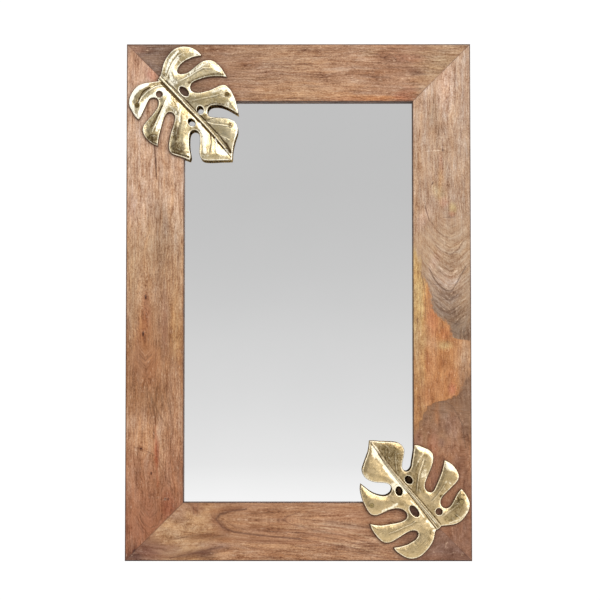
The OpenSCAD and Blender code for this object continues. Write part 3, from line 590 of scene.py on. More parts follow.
def wood_left():
    w = Wood("wood_left_stile", True, -1.0, 3.1)
    g = w.g
    col = w.along([(44, (210, 165, 138)), (90, (214, 172, 146)), (200, (212, 170, 143)), (250, (191, 148, 115)),
                   (300, (189, 142, 108)), (345, (170, 119, 84)), (395, (172, 121, 86)), (430, (192, 142, 110)),
                   (470, (180, 124, 92)), (510, (172, 112, 82)), (561, (166, 106, 80))])
    phi = w.W + g.sn((w.W * 0.02, w.D * 0.02, w.A * 0.005 + 3.0), detail=2.0) * 9.0 \
        + g.sn((w.W * 0.07, w.D * 0.05, w.A * 0.016 + 5.0), detail=2.0) * 2.4
    # grain parts round the knots
    for px, py, rx, ry, k in ((145.6, 297, 7, 22, 0.4), (143.1, 334, 7, 22, 0.4), (151.2, 473, 7, 16, 0.5), (166, 499, 9, 17, 0.5), (141, 449, 9, 9, 0.4)):
        x, z = at(px, py)
        m = w.blob(px, py, rx, ry, soft=0.95, wob=0.05)
        phi = phi - (w.W - (-x - SIGHT_X)) * (m * k)
    # chevrons under the second knot and arches at the foot
    xk, zk = at(145.5, 356)
    foot = g.step(w.Z, at(150, 430)[1], at(150, 400)[1])
    dx = (w.X - xk) * foot + (w.X - at(149, 520)[0]) * (1.0 - foot)
    chev = w.blob(145.5, 359, 10, 13, soft=0.7, wob=0.3)
    rings = w.blob(149, 520, 18, 16, soft=0.6, wob=0.3)
    cup = g.math("SQRT", dx * dx + 9.0) * 0.75 - (w.Z - zk) * 0.5 + w.wob * 2.0
    other = (cup, w.X * 1.2 + w.Z * 0.3, g.math("MAXIMUM", chev * 0.8, rings * 0.55))
    # broad colour
    for px, py, rx, ry, t, k, c in (
            (130, 50, 6, 8, 0, 0.6, (146, 112, 92)), (137, 60, 5, 6, 0, 0.35, (172, 130, 106)), (137, 66, 12, 20, 0, 0.55, (192, 142, 116)), (153, 76, 5, 9, 40, 0.6, (192, 124, 104)),
            (176, 120, 10, 60, 0, 0.25, (196, 150, 124)), (134, 170, 6, 60, 0, 0.35, (224, 186, 160)),
            (168, 200, 9, 45, 0, 0.25, (222, 182, 152)), (158, 215, 5, 22, 0, 0.45, (170, 136, 112)),
            (161, 252, 6, 34, 0, 0.55, (158, 122, 96)), (150, 232, 3, 30, 0, 0.40, (166, 128, 98)),
            (178, 236, 5, 22, 0, 0.5, (210, 174, 148)), (167, 222, 5, 20, 8, 0.45, (160, 128, 106)), (132, 206, 4, 12, 0, 0.45, (190, 140, 116)), (165, 322, 3.4, 30, 0, 0.60, (150, 102, 80)),
            (158, 300, 5, 32, 0, 0.35, (166, 128, 106)), (175, 316, 5, 30, 0, 0.42, (196, 150, 106)),
            (146, 314, 4.2, 17, 0, 0.62, (176, 106, 70)), (133, 312, 5, 24, 0, 0.45, (178, 138, 116)),
            (143, 334, 7, 12, 0, 0.55, (182, 116, 72)), (147, 352, 9, 14, 0, 0.45, (166, 108, 70)), (150, 372, 9, 20, 0, 0.42, (172, 110, 76)),
            (177, 336, 6, 18, 0, 0.45, (198, 146, 96)), (160, 398, 14, 16, 0, 0.40, (164, 112, 74)), (136, 360, 6, 20, 0, 0.35, (176, 124, 96)),
            (133, 300, 4, 40, 0, 0.25, (200, 160, 118)), (141, 436, 9, 15, 0, 0.65, (214, 160, 122)), (150, 442, 6, 14, 0, 0.45, (206, 150, 110)),
            (173, 400, 9, 26, 0, 0.35, (206, 158, 128)), (161, 452, 4.5, 20, 0, 0.60, (220, 170, 134)),
            (152, 470, 16, 10, 0, 0.25, (166, 116, 90)), (174, 470, 9, 40, 0, 0.35, (176, 120, 90)),
            (168, 506, 6, 13, 8, 0.62, (150, 78, 50)), (157, 496, 5, 26, 0, 0.40, (148, 96, 66)), (150, 488, 14, 8, 0, 0.30, (160, 104, 72)), (136, 505, 6, 26, 0, 0.35, (190, 134, 104)),
            (150, 540, 14, 10, 30, 0.30, (178, 118, 84)), (134.5, 552, 6, 5.5, 0, 0.85, (80, 40, 36)), (131, 545, 5, 8, 0, 0.35, (150, 110, 86)),
            (131, 557, 12, 4, 0, 0.6, (104, 66, 56)), (142, 508, 4, 7, 20, 0.35, (150, 98, 70))):
        col = g.mix(w.blob(px, py, rx, ry, t, soft=0.75, wob=0.45) * k, col, lin(c))
    # orange streak and the dark curved streaks above it
    col = g.mix(w.line([(155.4, 418), (155.8, 445), (156.6, 464), (158.0, 486)], (1.2, 2.4), wob=0.4) * 0.45, col, lin((166, 92, 58)))
    col = g.mix(w.blob(156.8, 452, 2.4, 13, soft=0.7, wob=0.3) * 0.6, col, lin((176, 84, 50)))
    for pts, wd, k, c in (([(139, 512), (142, 522), (150, 528), (158, 525), (162, 516)], 1.0, 0.45, (120, 76, 54)), ([(144, 510), (150, 518), (157, 512)], 0.9, 0.35, (124, 80, 58)),
                          ([(136, 520), (143, 532), (154, 535)], 0.9, 0.3, (124, 80, 58)), ([(139, 354), (145.5, 361), (152, 354)], 0.9, 0.5, (122, 78, 54)),
                          ([(140, 360), (145.5, 366.5), (151, 360)], 0.9, 0.4, (122, 78, 54)), ([(150, 460), (153, 455), (158, 457), (164, 470)], 0.9, 0.35, (138, 90, 64))):
        col = g.mix(w.line(pts, wd, wob=0.3) * k, col, lin(c))
    for pts, wd, k in (([(149, 392), (153, 404), (156, 424)], 1.8, 0.58), ([(157, 388), (156, 404), (158, 420)], 1.7, 0.52), ([(152, 398), (158, 412), (166, 426)], 1.4, 0.5), ([(166, 386), (167, 400), (171, 414)], 1.5, 0.42),
                       ([(161, 394), (164, 412), (168, 430)], 1.5, 0.35), ([(146, 386), (148, 400), (152, 416)], 1.3, 0.35),
                       ([(169, 398), (171, 416), (174, 430)], 1.2, 0.25)):
        col = g.mix(w.line(pts, wd, wob=0.35) * k, col, lin((120, 78, 50)))
    # crack
    col = g.mix(w.line([(154.4, 145), (155.6, 160), (156.0, 170), (156.5, 179)], (2.3, 0.9), soft=0.9, wob=0.15) * 0.72, col, lin((118, 76, 56)))
    col = g.mix(w.line([(155.6, 158), (156.1, 168), (156.5, 177)], (1.1, 0.5), soft=0.9) * 0.75, col, lin((80, 48, 36)))
    # scar with a pale edge
    col = g.mix(w.line([(134, 447.5), (140, 448.5), (146, 451), (153, 454)], 0.9, soft=1.0, wob=0.2) * 0.55, col, lin((118, 74, 54)))
    col = g.mix(w.line([(135, 450), (141, 451.5), (147, 454)], 0.9, soft=1.0, wob=0.2) * 0.4, col, lin((232, 190, 160)))
    # knots
    for px, py, rx, ry, c in ((145.6, 296.8, 0.9, 2.3, (82, 38, 24)), (143.1, 333.8, 0.9, 2.6, (74, 36, 24)),
                              (151.2, 473.2, 1.0, 1.7, (86, 44, 28)), (165.2, 499, 1.1, 1.5, (82, 36, 26)), (168.2, 499.2, 0.9, 1.3, (88, 40, 28)),
                              (141, 448.6, 1.0, 0.9, (90, 52, 36)), (135.2, 551.6, 2.6, 2.2, (76, 40, 38))):
        col = g.mix(w.blob(px, py, rx * 2.6, ry * 2.0, soft=0.8, wob=0.1) * 0.45, col, lin((150, 86, 54)))
        col = g.mix(w.blob(px, py, rx, ry, soft=0.45, wob=0.1) * 0.9, col, lin(c))
    return finish_wood(w, col, phi, other=other)


def wood_right():
    w = Wood("wood_right_stile", True, 1.0, 8.4)
    g = w.g
    col = w.along([(44, (196, 160, 136)), (90, (199, 163, 140)), (150, (184, 148, 123)), (205, (184, 148, 124)),
                   (250, (188, 152, 124)), (285, (172, 140, 118)), (318, (152, 122, 100)), (345, (152, 118, 94)), (400, (146, 106, 80)),
                   (430, (162, 117, 86)), (460, (171, 118, 86)), (500, (165, 112, 84)), (561, (152, 104, 81))])
    wv = g.sn((w.W * 0.02, w.D * 0.02, w.A * 0.005 + 1.0), detail=2.0)
    phi = w.W + wv * 8.0 + g.sn((w.W * 0.07, w.D * 0.05, w.A * 0.016 + 2.0), detail=2.0) * 2.2
    for px, py, rx, ry, k in ((441.9, 147.5, 7, 20, 0.5), (449, 88, 10, 34, 0.45)):
        x, z = at(px, py)
        m = w.blob(px, py, rx, ry, soft=0.95, wob=0.05)
        phi = phi - (w.W - (x - SIGHT_X)) * (m * k)
    # U-shaped figure of the heartwood
    xk, zk = at(450, 292)
    dx = (w.X - xk) + w.wob * 2.0
    dip = g.math("ABSOLUTE", dx) * 0.34 + dx * dx * 0.011 - (w.Z - zk)
    heart = w.blob(447, 264, 30, 44, soft=0.6, wob=0.2) * 0.9
    # upper part
    for px, py, rx, ry, t, k, c in (
            (446, 84, 8, 22, 0, 0.75, (224, 184, 162)), (453, 110, 4, 40, 0, 0.35, (212, 178, 154)), (463, 110, 5, 80, 0, 0.45, (186, 154, 134)),
            (433, 113, 4, 13, 0, 0.60, (170, 138, 114)), (420, 130, 6, 50, 0, 0.35, (202, 164, 136)), (436, 124, 5, 20, 0, 0.35, (176, 142, 116)),
            (455, 160, 9, 40, 0, 0.30, (206, 172, 148)), (427, 165, 9, 26, 0, 0.30, (200, 162, 136)), (415.5, 190, 3, 44, 0, 0.35, (204, 160, 124)),
            (441, 165, 1.8, 9, 6, 0.60, (196, 140, 112)), (440.5, 178, 2.6, 11, 0, 0.65, (210, 164, 122)), (439, 193, 5, 9, 32, 0.42, (206, 172, 122)),
            (444, 202, 4, 5, 0, 0.5, (200, 140, 114)), (453, 208, 3.4, 5, 0, 0.65, (198, 166, 110)), (452, 214, 3, 2.4, 0, 0.5, (198, 132, 104)),
            (423, 219, 4.6, 11, -28, 0.62, (226, 186, 164)), (464, 240, 5, 40, 0, 0.35, (200, 168, 142)), (450, 240, 12, 22, 0, 0.35, (176, 146, 122)),
            (434, 262, 4, 12, -28, 0.50, (208, 170, 150)), (448, 282, 12, 7, 0, 0.60, (210, 176, 156)), (445, 302, 14, 15, 0, 0.50, (142, 116, 102)),
            (460, 330, 9, 9, 0, 0.70, (130, 108, 94)), (465, 300, 6, 30, 0, 0.45, (184, 150, 122)), (426, 268, 3, 16, -8, 0.30, (172, 140, 112))):
        col = g.mix(w.blob(px, py, rx, ry, t, soft=0.75, wob=0.4) * k, col, lin(c))
    # yellow sapwood on the inner side, orange wood beyond it down to the next arch
    left_of, d = w.curve_side([(411, 236), (418, 256), (422.5, 276), (430, 291), (432, 307), (438, 314.5), (444.4, 320), (450, 327), (453, 337), (462, 339.5), (471, 342),
                               (471, 372), (466, 379), (462, 389), (456, 395.5), (447, 400), (436, 402.5), (426, 412), (421, 423), (414, 438), (411, 446)], soft=4.4, wob=8.0)
    sap = (1.0 - left_of) * w.blob(440, 345, 60, 112, soft=0.03, wob=0.0)
    warm = g.mix(g.step(w.Z, at(420, 325)[1], at(420, 372)[1]), lin((208, 168, 116)), lin((196, 146, 98)))
    warm = g.mix(g.step(w.X + w.wob * 6.0, at(421, 300)[0], at(429, 300)[0]), warm, lin((196, 134, 86)))
    for px, py, rx, ry, t, k, c in (
            (432, 320, 6, 13, 0, 0.7, (196, 122, 82)), (444.5, 334, 6, 6, 0, 0.75, (182, 112, 70)), (445, 345, 7, 4, 0, 0.75, (208, 172, 122)),
            (465, 358, 7, 24, 0, 0.75, (194, 154, 124)), (428, 364, 2.6, 14, 6, 0.6, (164, 98, 60)), (432, 344, 6, 6, 0, 0.5, (202, 152, 112)),
            (424, 332, 5, 8, 0, 0.4, (206, 158, 116)), (437, 372, 3, 16, 0, 0.4, (184, 120, 74)), (456, 352, 4, 16, 0, 0.4, (186, 132, 92)), (443, 363, 3, 6, 0, 0.45, (168, 102, 60)),
            (452, 375, 6, 7, 0, 0.45, (176, 108, 72)), (452, 389, 3.4, 6, 0, 0.65, (212, 126, 96)), (437, 388, 12, 10, 0, 0.35, (186, 122, 82)),
            (418, 390, 5, 14, 0, 0.35, (190, 138, 92)), (417, 414, 4, 16, 0, 0.6, (176, 116, 72)), (433, 350, 4, 22, 0, 0.3, (204, 148, 112)),
            (418, 345, 4, 22, 0, 0.3, (202, 160, 128)), (424, 396, 6, 12, 10, 0.3, (182, 118, 90))):
        warm = g.mix(w.blob(px, py, rx, ry, t, soft=0.75, wob=0.45) * k, warm, lin(c))
    col = g.mix(sap, col, warm)
    edge = g.step(g.math("ABSOLUTE", d), 3.2, 0.4) * w.blob(440, 414, 40, 24, soft=0.3, wob=0.2)
    col = g.mix(edge * 0.6, col, lin((112, 72, 50)))
    grey = w.blob(450, 306, 20, 24, soft=0.4, wob=0.4)
    low = g.step(w.Z, at(436, 392)[1], at(436, 414)[1]) * (1.0 - sap)
    knotty = g.math("MAXIMUM", sap, low)
    other = ((dip * 0.55 + wv * 5.0) * (1.0 - knotty) + (w.W * 0.8 + wv * 9.0) * sap + (w.W * 0.55 + wv * 16.0) * low,
             (w.X * 1.6 + w.Z * 0.4) * (1.0 - knotty) + w.Z * (sap * 2.2) + (w.Z * 2.4 + w.wob * 6.0) * low,
             g.math("MAXIMUM", g.math("MAXIMUM", heart, grey), g.math("MAXIMUM", sap * 0.9, low * 0.88)))
    # brown wood beside the leaf
    for px, py, rx, ry, t, k, c in (
            (466, 400, 5, 36, 0, 0.55, (140, 106, 86)), (437, 415, 2.6, 11, 0, 0.65, (182, 122, 80)), (444, 413, 5, 8, 0, 0.5, (160, 130, 106)),
            (427, 425, 4, 12, 16, 0.4, (148, 108, 90)), (454, 428, 7, 12, 0, 0.50, (176, 132, 112)), (418, 438, 4, 8, 0, 0.5, (178, 126, 106)),
            (433, 446, 5, 12, 0, 0.55, (176, 108, 78)), (436, 470, 6, 26, 0, 0.35, (136, 90, 74)), (446, 430, 4, 6, 0, 0.4, (128, 92, 74)),
            (462, 470, 7, 40, 0, 0.35, (164, 118, 96)), (452, 545, 20, 16, 0, 0.30, (150, 112, 94)), (440, 552, 14, 10, 0, 0.3, (134, 94, 78)),
            (446, 420, 9, 12, 20, 0.4, (158, 116, 98)), (436, 430, 5, 7, -20, 0.45, (122, 82, 66)), (452, 446, 7, 8, 30, 0.4, (170, 124, 102)), (440, 442, 4, 5, 0, 0.45, (120, 84, 76)),
            (458, 462, 5, 9, -20, 0.35, (130, 90, 74)), (465, 440, 4, 14, 0, 0.35, (128, 92, 76)), (466, 480, 4, 12, 0, 0.35, (120, 84, 68)), (434, 478, 3, 9, 0, 0.4, (166, 112, 90)),
            (466, 520, 4, 18, 0, 0.35, (128, 90, 74)), (436, 492, 3, 6, 0, 0.4, (124, 78, 62))):
        col = g.mix(w.blob(px, py, rx, ry, t, soft=0.75, wob=0.4) * k, col, lin(c))
    # drawn grain lines: dark and pale arcs of the figure, checks and streaks
    for pts, wd, k, c in (
            ([(443, 217.6), (449, 217.2), (454.4, 217)], 0.9, 0.6, (130, 96, 78)),
            ([(431.6, 222), (437, 230.5), (443, 236), (448, 237.4)], 0.9, 0.5, (134, 100, 80)),
            ([(435.3, 245), (442, 251.6), (451, 254.6), (458.5, 249), (464, 240)], 1.1, 0.5, (124, 90, 70)),
            ([(452, 252.6), (459, 246), (464, 238)], 0.8, 0.4, (222, 188, 162)),
            ([(439, 267), (444, 272.6), (450.7, 275.6), (457, 270.5)], 1.5, 0.55, (228, 196, 176)),
            ([(446, 269.5), (451, 272), (454, 269.6)], 0.8, 0.45, (140, 108, 88)),
            ([(429, 268), (434.4, 279.4), (441, 287), (446.4, 290.4), (451.6, 291), (455.4, 285.4), (460, 277), (466, 266)], (1.2, 0.9), 0.75, (106, 78, 62)),
            ([(430, 264), (436, 274.6), (442, 282), (447, 285.6), (452, 286), (456, 280), (460, 272)], 1.2, 0.35, (226, 192, 168)),
            ([(432, 294), (440, 299), (450, 300), (458, 294)], 1.0, 0.5, (118, 90, 76)), ([(436, 308), (446, 312), (456, 308)], 1.0, 0.5, (116, 88, 74)),
            ([(452, 322), (458, 325), (464, 322)], 1.2, 0.5, (106, 80, 68)), ([(450, 330), (458, 334), (466, 331)], 1.2, 0.5, (104, 78, 66)),
            ([(427, 279), (431.6, 284), (438, 284.6)], 0.9, 0.5, (116, 86, 70)),
            ([(421, 272), (424, 286), (425.6, 300), (425.6, 318)], (1.1, 0.7), 0.55, (126, 84, 56)),
            ([(438.4, 402), (446, 401.6), (452, 406), (458, 415.4), (462.4, 424.6), (465.6, 448)], (1.2, 0.8), 0.55, (104, 74, 58)),
            ([(455, 60), (455.4, 118)], 0.9, 0.40, (138, 104, 86)), ([(440, 74), (436, 100)], 0.8, 0.3, (226, 188, 164)),
            ([(442.6, 139), (442.6, 148)], (0.7, 1.2), 0.55, (120, 80, 62)), ([(442.2, 152), (441.6, 160), (440, 172)], (0.9, 0.5), 0.4, (150, 96, 74)),
            ([(424.7, 151.4), (432, 150.8), (440, 150.6)], 0.9, 0.55, (228, 196, 172)), ([(425, 206), (427.4, 214), (429.6, 221)], (1.1, 1.0), 0.75, (112, 74, 56)),
            ([(444.8, 224), (444.6, 262)], 0.7, 0.3, (214, 182, 158)), ([(428, 352), (426.6, 366), (427.4, 372)], 0.9, 0.45, (148, 82, 54))):
        col = g.mix(w.line(pts, wd, wob=0.3) * k, col, lin(c))
    for px, py, rx, ry, t, c in ((442.6, 150, 0.8, 1.5, 0, (84, 50, 38)), (432.6, 183.2, 0.6, 1.9, -25, (92, 56, 42))):
        col = g.mix(w.blob(px, py, rx, ry, t, soft=0.5, wob=0.1) * 0.85, col, lin(c))
    return finish_wood(w, col, phi, fine=0.95, pore=0.8, other=other, short=1.7)


def wood_top():
    w = Wood("wood_top_rail", False, 1.0, 5.6)
    g = w.g
    col = w.along([(127, (142, 110, 94)), (165, (142, 112, 94)), (185, (150, 116, 94)), (215, (164, 122, 96)), (255, (172, 130, 102)),
                   (300, (178, 134, 104)), (350, (184, 138, 108)), (400, (172, 126, 98)), (430, (176, 136, 106)), (470, (180, 142, 112))])
    wv = g.sn((w.W * 0.02, w.D * 0.02, w.A * 0.006 + 1.0), detail=2.0)
    phi = w.W + wv * 10.0 + g.sn((w.W * 0.06, w.D * 0.05, w.A * 0.02 + 2.0), detail=2.0) * 3.0
    for px, py, rx, ry, k in ((390, 58, 30, 8, 0.35), (368, 53, 16, 6, 0.35), (248, 64, 18, 5, 0.4)):
        x, z = at(px, py)
        m = w.blob(px, py, rx, ry, soft=0.95, wob=0.05)
        phi = phi - (w.W - (z - SIGHT_Z)) * (m * k)
    for px, py, rx, ry, t, k, c in (
            (150, 60, 26, 16, 0, 0.30, (132, 102, 90)), (136, 50, 12, 4, 0, 0.5, (166, 116, 92)), (210, 70, 20, 10, 0, 0.35, (148, 106, 84)),
            (250, 62, 13, 4.5, -6, 0.50, (146, 96, 70)), (262, 71, 12, 4, 0, 0.30, (198, 154, 130)), (222, 54, 10, 5, 0, 0.30, (146, 104, 84)), (290, 74, 40, 3, 0, 0.25, (150, 104, 80)), (240, 88, 30, 6, 0, 0.30, (186, 138, 110)),
            (300, 93, 40, 7, 0, 0.45, (198, 148, 108)), (215, 98, 20, 5, 0, 0.35, (180, 122, 94)), (330, 60, 30, 4, 0, 0.30, (160, 118, 92)),
            (369, 52, 8, 4, 10, 0.55, (196, 160, 130)), (387, 57, 11, 4.0, 0, 0.55, (140, 94, 70)), (410, 58, 12, 4, 0, 0.45, (160, 100, 76)),
            (419, 48, 9, 2.5, 0, 0.55, (140, 98, 80)), (412, 69, 8, 2.6, 0, 0.45, (142, 98, 78)), (418, 73, 6, 2, 0, 0.45, (134, 90, 70)),
            (443, 62, 16, 10, 40, 0.50, (184, 150, 116)), (450, 52, 14, 5, 0, 0.35, (168, 130, 104)), (374, 98.4, 26, 2.8, 0, 0.62, (210, 140, 88)),
            (340, 97, 22, 3.4, 0, 0.5, (206, 146, 100)), (404, 97, 10, 5, 0, 0.55, (180, 108, 78)), (410, 90, 7, 4, 0, 0.35, (178, 116, 90)), (345, 100, 20, 3, 0, 0.35, (178, 118, 86)), (385, 82, 30, 5, 0, 0.30, (190, 144, 114)),
            (350, 76, 26, 3, 0, 0.3, (156, 110, 84)), (300, 49, 60, 3, 0, 0.30, (158, 120, 96)), (340, 84, 20, 3, 0, 0.35, (196, 152, 120)),
            (232, 56, 24, 4, 0, 0.25, (180, 140, 112))):
        col = g.mix(w.blob(px, py, rx, ry, t, soft=0.75, wob=0.45) * k, col, lin(c))
    for pts, wd, k in (([(366, 77), (390, 78)], 0.8, 0.5), ([(350, 79), (372, 81)], 0.7, 0.4), ([(296, 74), (330, 75)], 0.7, 0.35),
                       ([(262, 63), (280, 65), (300, 64)], 0.8, 0.35), ([(225, 66), (258, 64)], 0.9, 0.35), ([(300, 99), (345, 100)], 0.8, 0.35),
                       ([(376, 53), (383, 58.6), (390, 54), (396, 59)], 1.0, 0.4), ([(400, 58), (412, 64), (420, 62)], 0.8, 0.4),
                       ([(360, 70), (376, 71)], 0.7, 0.35), ([(240, 92), (300, 91)], 0.7, 0.3)):
        col = g.mix(w.line(pts, wd, wob=0.35) * k, col, lin((112, 72, 54)))
    return finish_wood(w, col, phi, fine=1.1, broad=1.15)


def wood_bottom():
    w = Wood("wood_bottom_rail", False, -1.0, 12.3)
    g = w.g
    col = w.along([(125, (138, 98, 78)), (150, (158, 114, 88)), (170, (186, 142, 106)), (195, (190, 146, 108)), (225, (180, 132, 98)),
                   (260, (178, 130, 98)), (300, (181, 133, 100)), (350, (182, 135, 103)), (385, (179, 132, 101)), (420, (150, 108, 86)), (473, (136, 98, 82))])
    wv = g.sn((w.W * 0.02, w.D * 0.02, w.A * 0.006 + 1.0), detail=2.0)
    slant = (w.X + 20.0) * 0.045
    phi = w.W - slant * g.step(w.X, -40.0, 60.0) + wv * 9.0 + g.sn((w.W * 0.06, w.D * 0.05, w.A * 0.02 + 2.0), detail=2.0) * 2.6
    # long arches opening to the right
    xk, zk = at(217, 519)
    dz = (w.Z - zk) + (w.X - xk) * 0.02 + w.wob * 2.0
    arch = w.blob(286, 521, 82, 20, soft=0.4, wob=0.2) * 0.9
    burl = g.math("MAXIMUM", w.blob(176, 527, 38, 30, soft=0.4, wob=0.2), w.blob(448, 545, 44, 24, soft=0.4, wob=0.2))
    other = ((g.math("SQRT", dz * dz + 7.0) - (w.X - xk) * 0.05 + wv * 4.0) * (1.0 - burl) + (w.W * 0.55 + wv * 16.0) * burl,
             w.X * (1.0 - burl) + (w.X * 2.4 + w.wob * 6.0) * burl, g.math("MAXIMUM", arch, burl * 0.85))
    for px, py, rx, ry, t, k, c in (
            (186, 530, 22, 12, 10, 0.50, (208, 166, 128)), (195, 509, 4, 6, 0, 0.6, (150, 92, 68)), (187, 506, 12, 4, 0, 0.4, (150, 104, 82)), (160, 528, 12, 8, 40, 0.35, (208, 164, 124)), (180, 512, 8, 5, 40, 0.4, (168, 120, 98)),
            (150, 552, 20, 8, 0, 0.50, (140, 98, 84)), (200, 552.5, 26, 3.6, 9, 0.70, (112, 68, 52)), (205, 555, 8, 3.4, 0, 0.55, (98, 54, 44)), (168, 547, 10, 3, 8, 0.4, (146, 96, 74)),
            (156, 556, 16, 3, 0, 0.4, (150, 104, 84)), (192, 546, 14, 2.4, 9, 0.45, (206, 166, 130)),
            (206, 536, 17, 3.4, 4, 0.85, (136, 88, 56)), (214, 519, 3.6, 6, 0, 0.65, (138, 88, 62)), (222, 530, 10, 4, -40, 0.45, (142, 94, 68)),
            (300, 534, 50, 3, -4, 0.35, (156, 104, 76)), (275, 546, 50, 2.4, -3, 0.40, (198, 150, 112)), (260, 541, 36, 2.0, -3, 0.45, (140, 92, 66)), (222, 526, 8, 2.4, -40, 0.5, (150, 100, 76)),
            (232, 509, 16, 2, 8, 0.4, (152, 102, 76)), (250, 518, 22, 5, 0, 0.35, (184, 142, 112)), (215, 545, 22, 3, 0, 0.4, (164, 128, 112)),
            (285, 520, 10, 3, 0, 0.4, (150, 102, 78)), (330, 530, 40, 4, -4, 0.25, (190, 144, 118)), (340, 525, 22, 3, -4, 0.4, (176, 146, 126)),
            (320, 545, 50, 4, -6, 0.25, (160, 110, 86)), (360, 549, 18, 4, -6, 0.35, (184, 150, 126)), (350, 515, 30, 6, 0, 0.3, (170, 116, 88)),
            (440, 545, 30, 16, 0, 0.4, (130, 94, 78)), (452, 552, 14, 8, 0, 0.3, (116, 82, 70)), (425, 556, 20, 4, 0, 0.3, (150, 104, 84)),
            (134, 556, 9, 4.5, 0, 0.75, (84, 48, 42)), (146, 550, 7, 5, -30, 0.5, (124, 78, 66)), (160, 546, 8, 3, -10, 0.45, (128, 84, 66)), (176, 549, 6, 3, 0, 0.4, (126, 80, 62)), (182, 519, 4, 5, 20, 0.4, (138, 94, 76)), (201, 508, 3, 5, 0, 0.35, (142, 92, 72)), (172, 517, 5, 3, -40, 0.35, (158, 108, 84))):
        col = g.mix(w.blob(px, py, rx, ry, t, soft=0.75, wob=0.45) * k, col, lin(c))
    col = g.mix(w.line([(240, 509), (229, 511), (219, 514.5), (217, 520), (223, 527), (236, 532.5), (262, 536)], (4.6, 3.2), soft=1.0, wob=0.35) * 0.5, col, lin((130, 86, 60)))
    for pts, wd, k in (([(246, 509), (232, 511), (220, 514), (216, 519), (222, 527), (234, 532), (256, 535), (300, 539)], (1.8, 1.4), 0.68), ([(226, 521), (234, 527), (256, 530.4), (300, 533)], 0.9, 0.4),
                       ([(228, 516), (250, 513.4), (276, 513)], 0.9, 0.35), ([(186, 511), (189, 505)], 0.9, 0.3), ([(193, 504), (193.6, 514)], 0.9, 0.4), ([(198, 504), (197, 516)], 0.9, 0.35),
                       ([(300, 512), (288, 516), (283, 520), (290, 524), (304, 527)], 1.2, 0.5), ([(170, 558), (190, 554), (205, 550.6), (222, 546.6)], (1.2, 2.0), 0.7), ([(300, 541), (340, 546), (380, 551)], 1.0, 0.35),
                       ([(256, 535), (300, 539), (340, 545), (372, 552)], 1.2, 0.45), ([(296, 532), (340, 540), (380, 549)], 1.0, 0.40),
                       ([(296, 546), (350, 553)], 0.9, 0.35), ([(230, 503.5), (260, 506), (300, 505), (350, 508)], 0.8, 0.35),
                       ([(170, 540), (190, 536), (208, 534), (222, 536)], 1.0, 0.4), ([(185, 526), (187, 529), (192, 529), (196, 525)], 0.7, 0.4),
                       ([(186, 522), (189, 519), (194, 520)], 0.7, 0.3), ([(260, 520), (282, 519)], 0.8, 0.3),
                       ([(300, 519), (335, 522), (374, 529)], 1.3, 0.42), ([(312, 530), (346, 536), (382, 547)], 1.4, 0.45), ([(332, 548), (360, 553), (392, 560)], 1.2, 0.4)):
        col = g.mix(w.line(pts, wd, wob=0.35) * k, col, lin((112, 72, 54)))
    for pts, wd, k in (([(300, 525), (340, 530), (376, 539)], 1.8, 0.45), ([(320, 541), (352, 546), (386, 555)], 1.8, 0.4), ([(250, 523), (290, 528), (330, 533)], 1.3, 0.35)):
        col = g.mix(w.line(pts, wd, wob=0.35) * k, col, lin((212, 172, 138)))
    # a stronger painted shade line along the outer edge of the bottom rail
    return finish_wood(w, col, phi, fine=1.05, broad=1.25, tint=(0.74, 0.725, 0.675), other=other, outline=0.95)


wear(nodes["left_stile"], wood_left())
wear(nodes["right_stile"], wood_right())
wear(nodes["top_rail"], wood_top())
wear(nodes["bottom_rail"], wood_bottom())


# ------------------------------------------------------------ plain parts

def mirror_material():
    g = Graph("mirror_silver")
    x, y, z = g.xyz()
    n = g.noise((x * 0.006, y * 0.01, z * 0.006), detail=3.0)
    col = g.mix(g.step(n, 0.35, 0.65), (0.930, 0.931, 0.931, 1.0), (0.940, 0.940, 0.940, 1.0))
    film = g.noise((x * 0.03, y * 0.05, z * 0.03), detail=4.0, rough=0.6)
    return g.bsdf(col, g.step(film, 0.5, 0.8, 0.006, 0.016), metallic=1.0)


def speckle(name, a, b, scale, rough, bump=0.2, metallic=0.0, stretch=(1, 1, 1), spec=0.4):
    g = Graph(name)
    x, y, z = g.xyz()
    v = (x * (stretch[0] * scale), y * (stretch[1] * scale), z * (stretch[2] * scale))
    n = g.noise(v, detail=5.0, rough=0.65)
    n2 = g.noise(v, scale=0.13, detail=2.0)
    col = g.mix(g.step(n, 0.3, 0.7), lin(a), lin(b))
    col = g.scale_col(col, g.step(n2, 0.3, 0.7, 0.86, 1.08))
    r = g.step(n, 0.3, 0.7, rough - 0.06, rough + 0.08)
    return g.bsdf(col, r, g.bump(n, bump, 0.0004), metallic=metallic, spec=spec)


wear(nodes["mirror_glass"], mirror_material())
wear(nodes["backing_board"], speckle("board_fibre", (150, 112, 74), (176, 138, 98), 0.8, 0.82, 0.5))
rubber = speckle("rubber_black", (26, 26, 27), (38, 38, 39), 0.9, 0.72, 0.4)
foam = speckle("foam_black", (28, 28, 28), (52, 52, 52), 2.2, 0.95, 0.9)
zinc = speckle("zinc_plate", (176, 180, 184), (206, 208, 210), 0.5, 0.30, 0.15, metallic=1.0, stretch=(1, 1, 0.15))
beech = speckle("beech_dowel", (196, 160, 116), (218, 184, 140), 0.6, 0.6, 0.3, stretch=(1, 1, 0.2))
for n in ("bumper_top_left", "bumper_top_right", "bumper_bottom_left", "bumper_bottom_right", "setting_block_left", "setting_block_right"):
    wear(nodes[n], rubber)
for n in ("foam_tape_top", "foam_tape_bottom", "foam_tape_left", "foam_tape_right"):
    wear(nodes[n], foam)
for n in ("left_hanger_strap", "right_hanger_strap", "left_hanger_ring", "right_hanger_ring", "left_hanger_screws", "right_hanger_screws", "backing_board_screws"):
    wear(nodes[n], zinc)
for n in ("dowels_top_left", "dowels_top_right", "dowels_bottom_left", "dowels_bottom_right"):
    wear(nodes[n], beech)


# ------------------------------------------------------------------ leaves



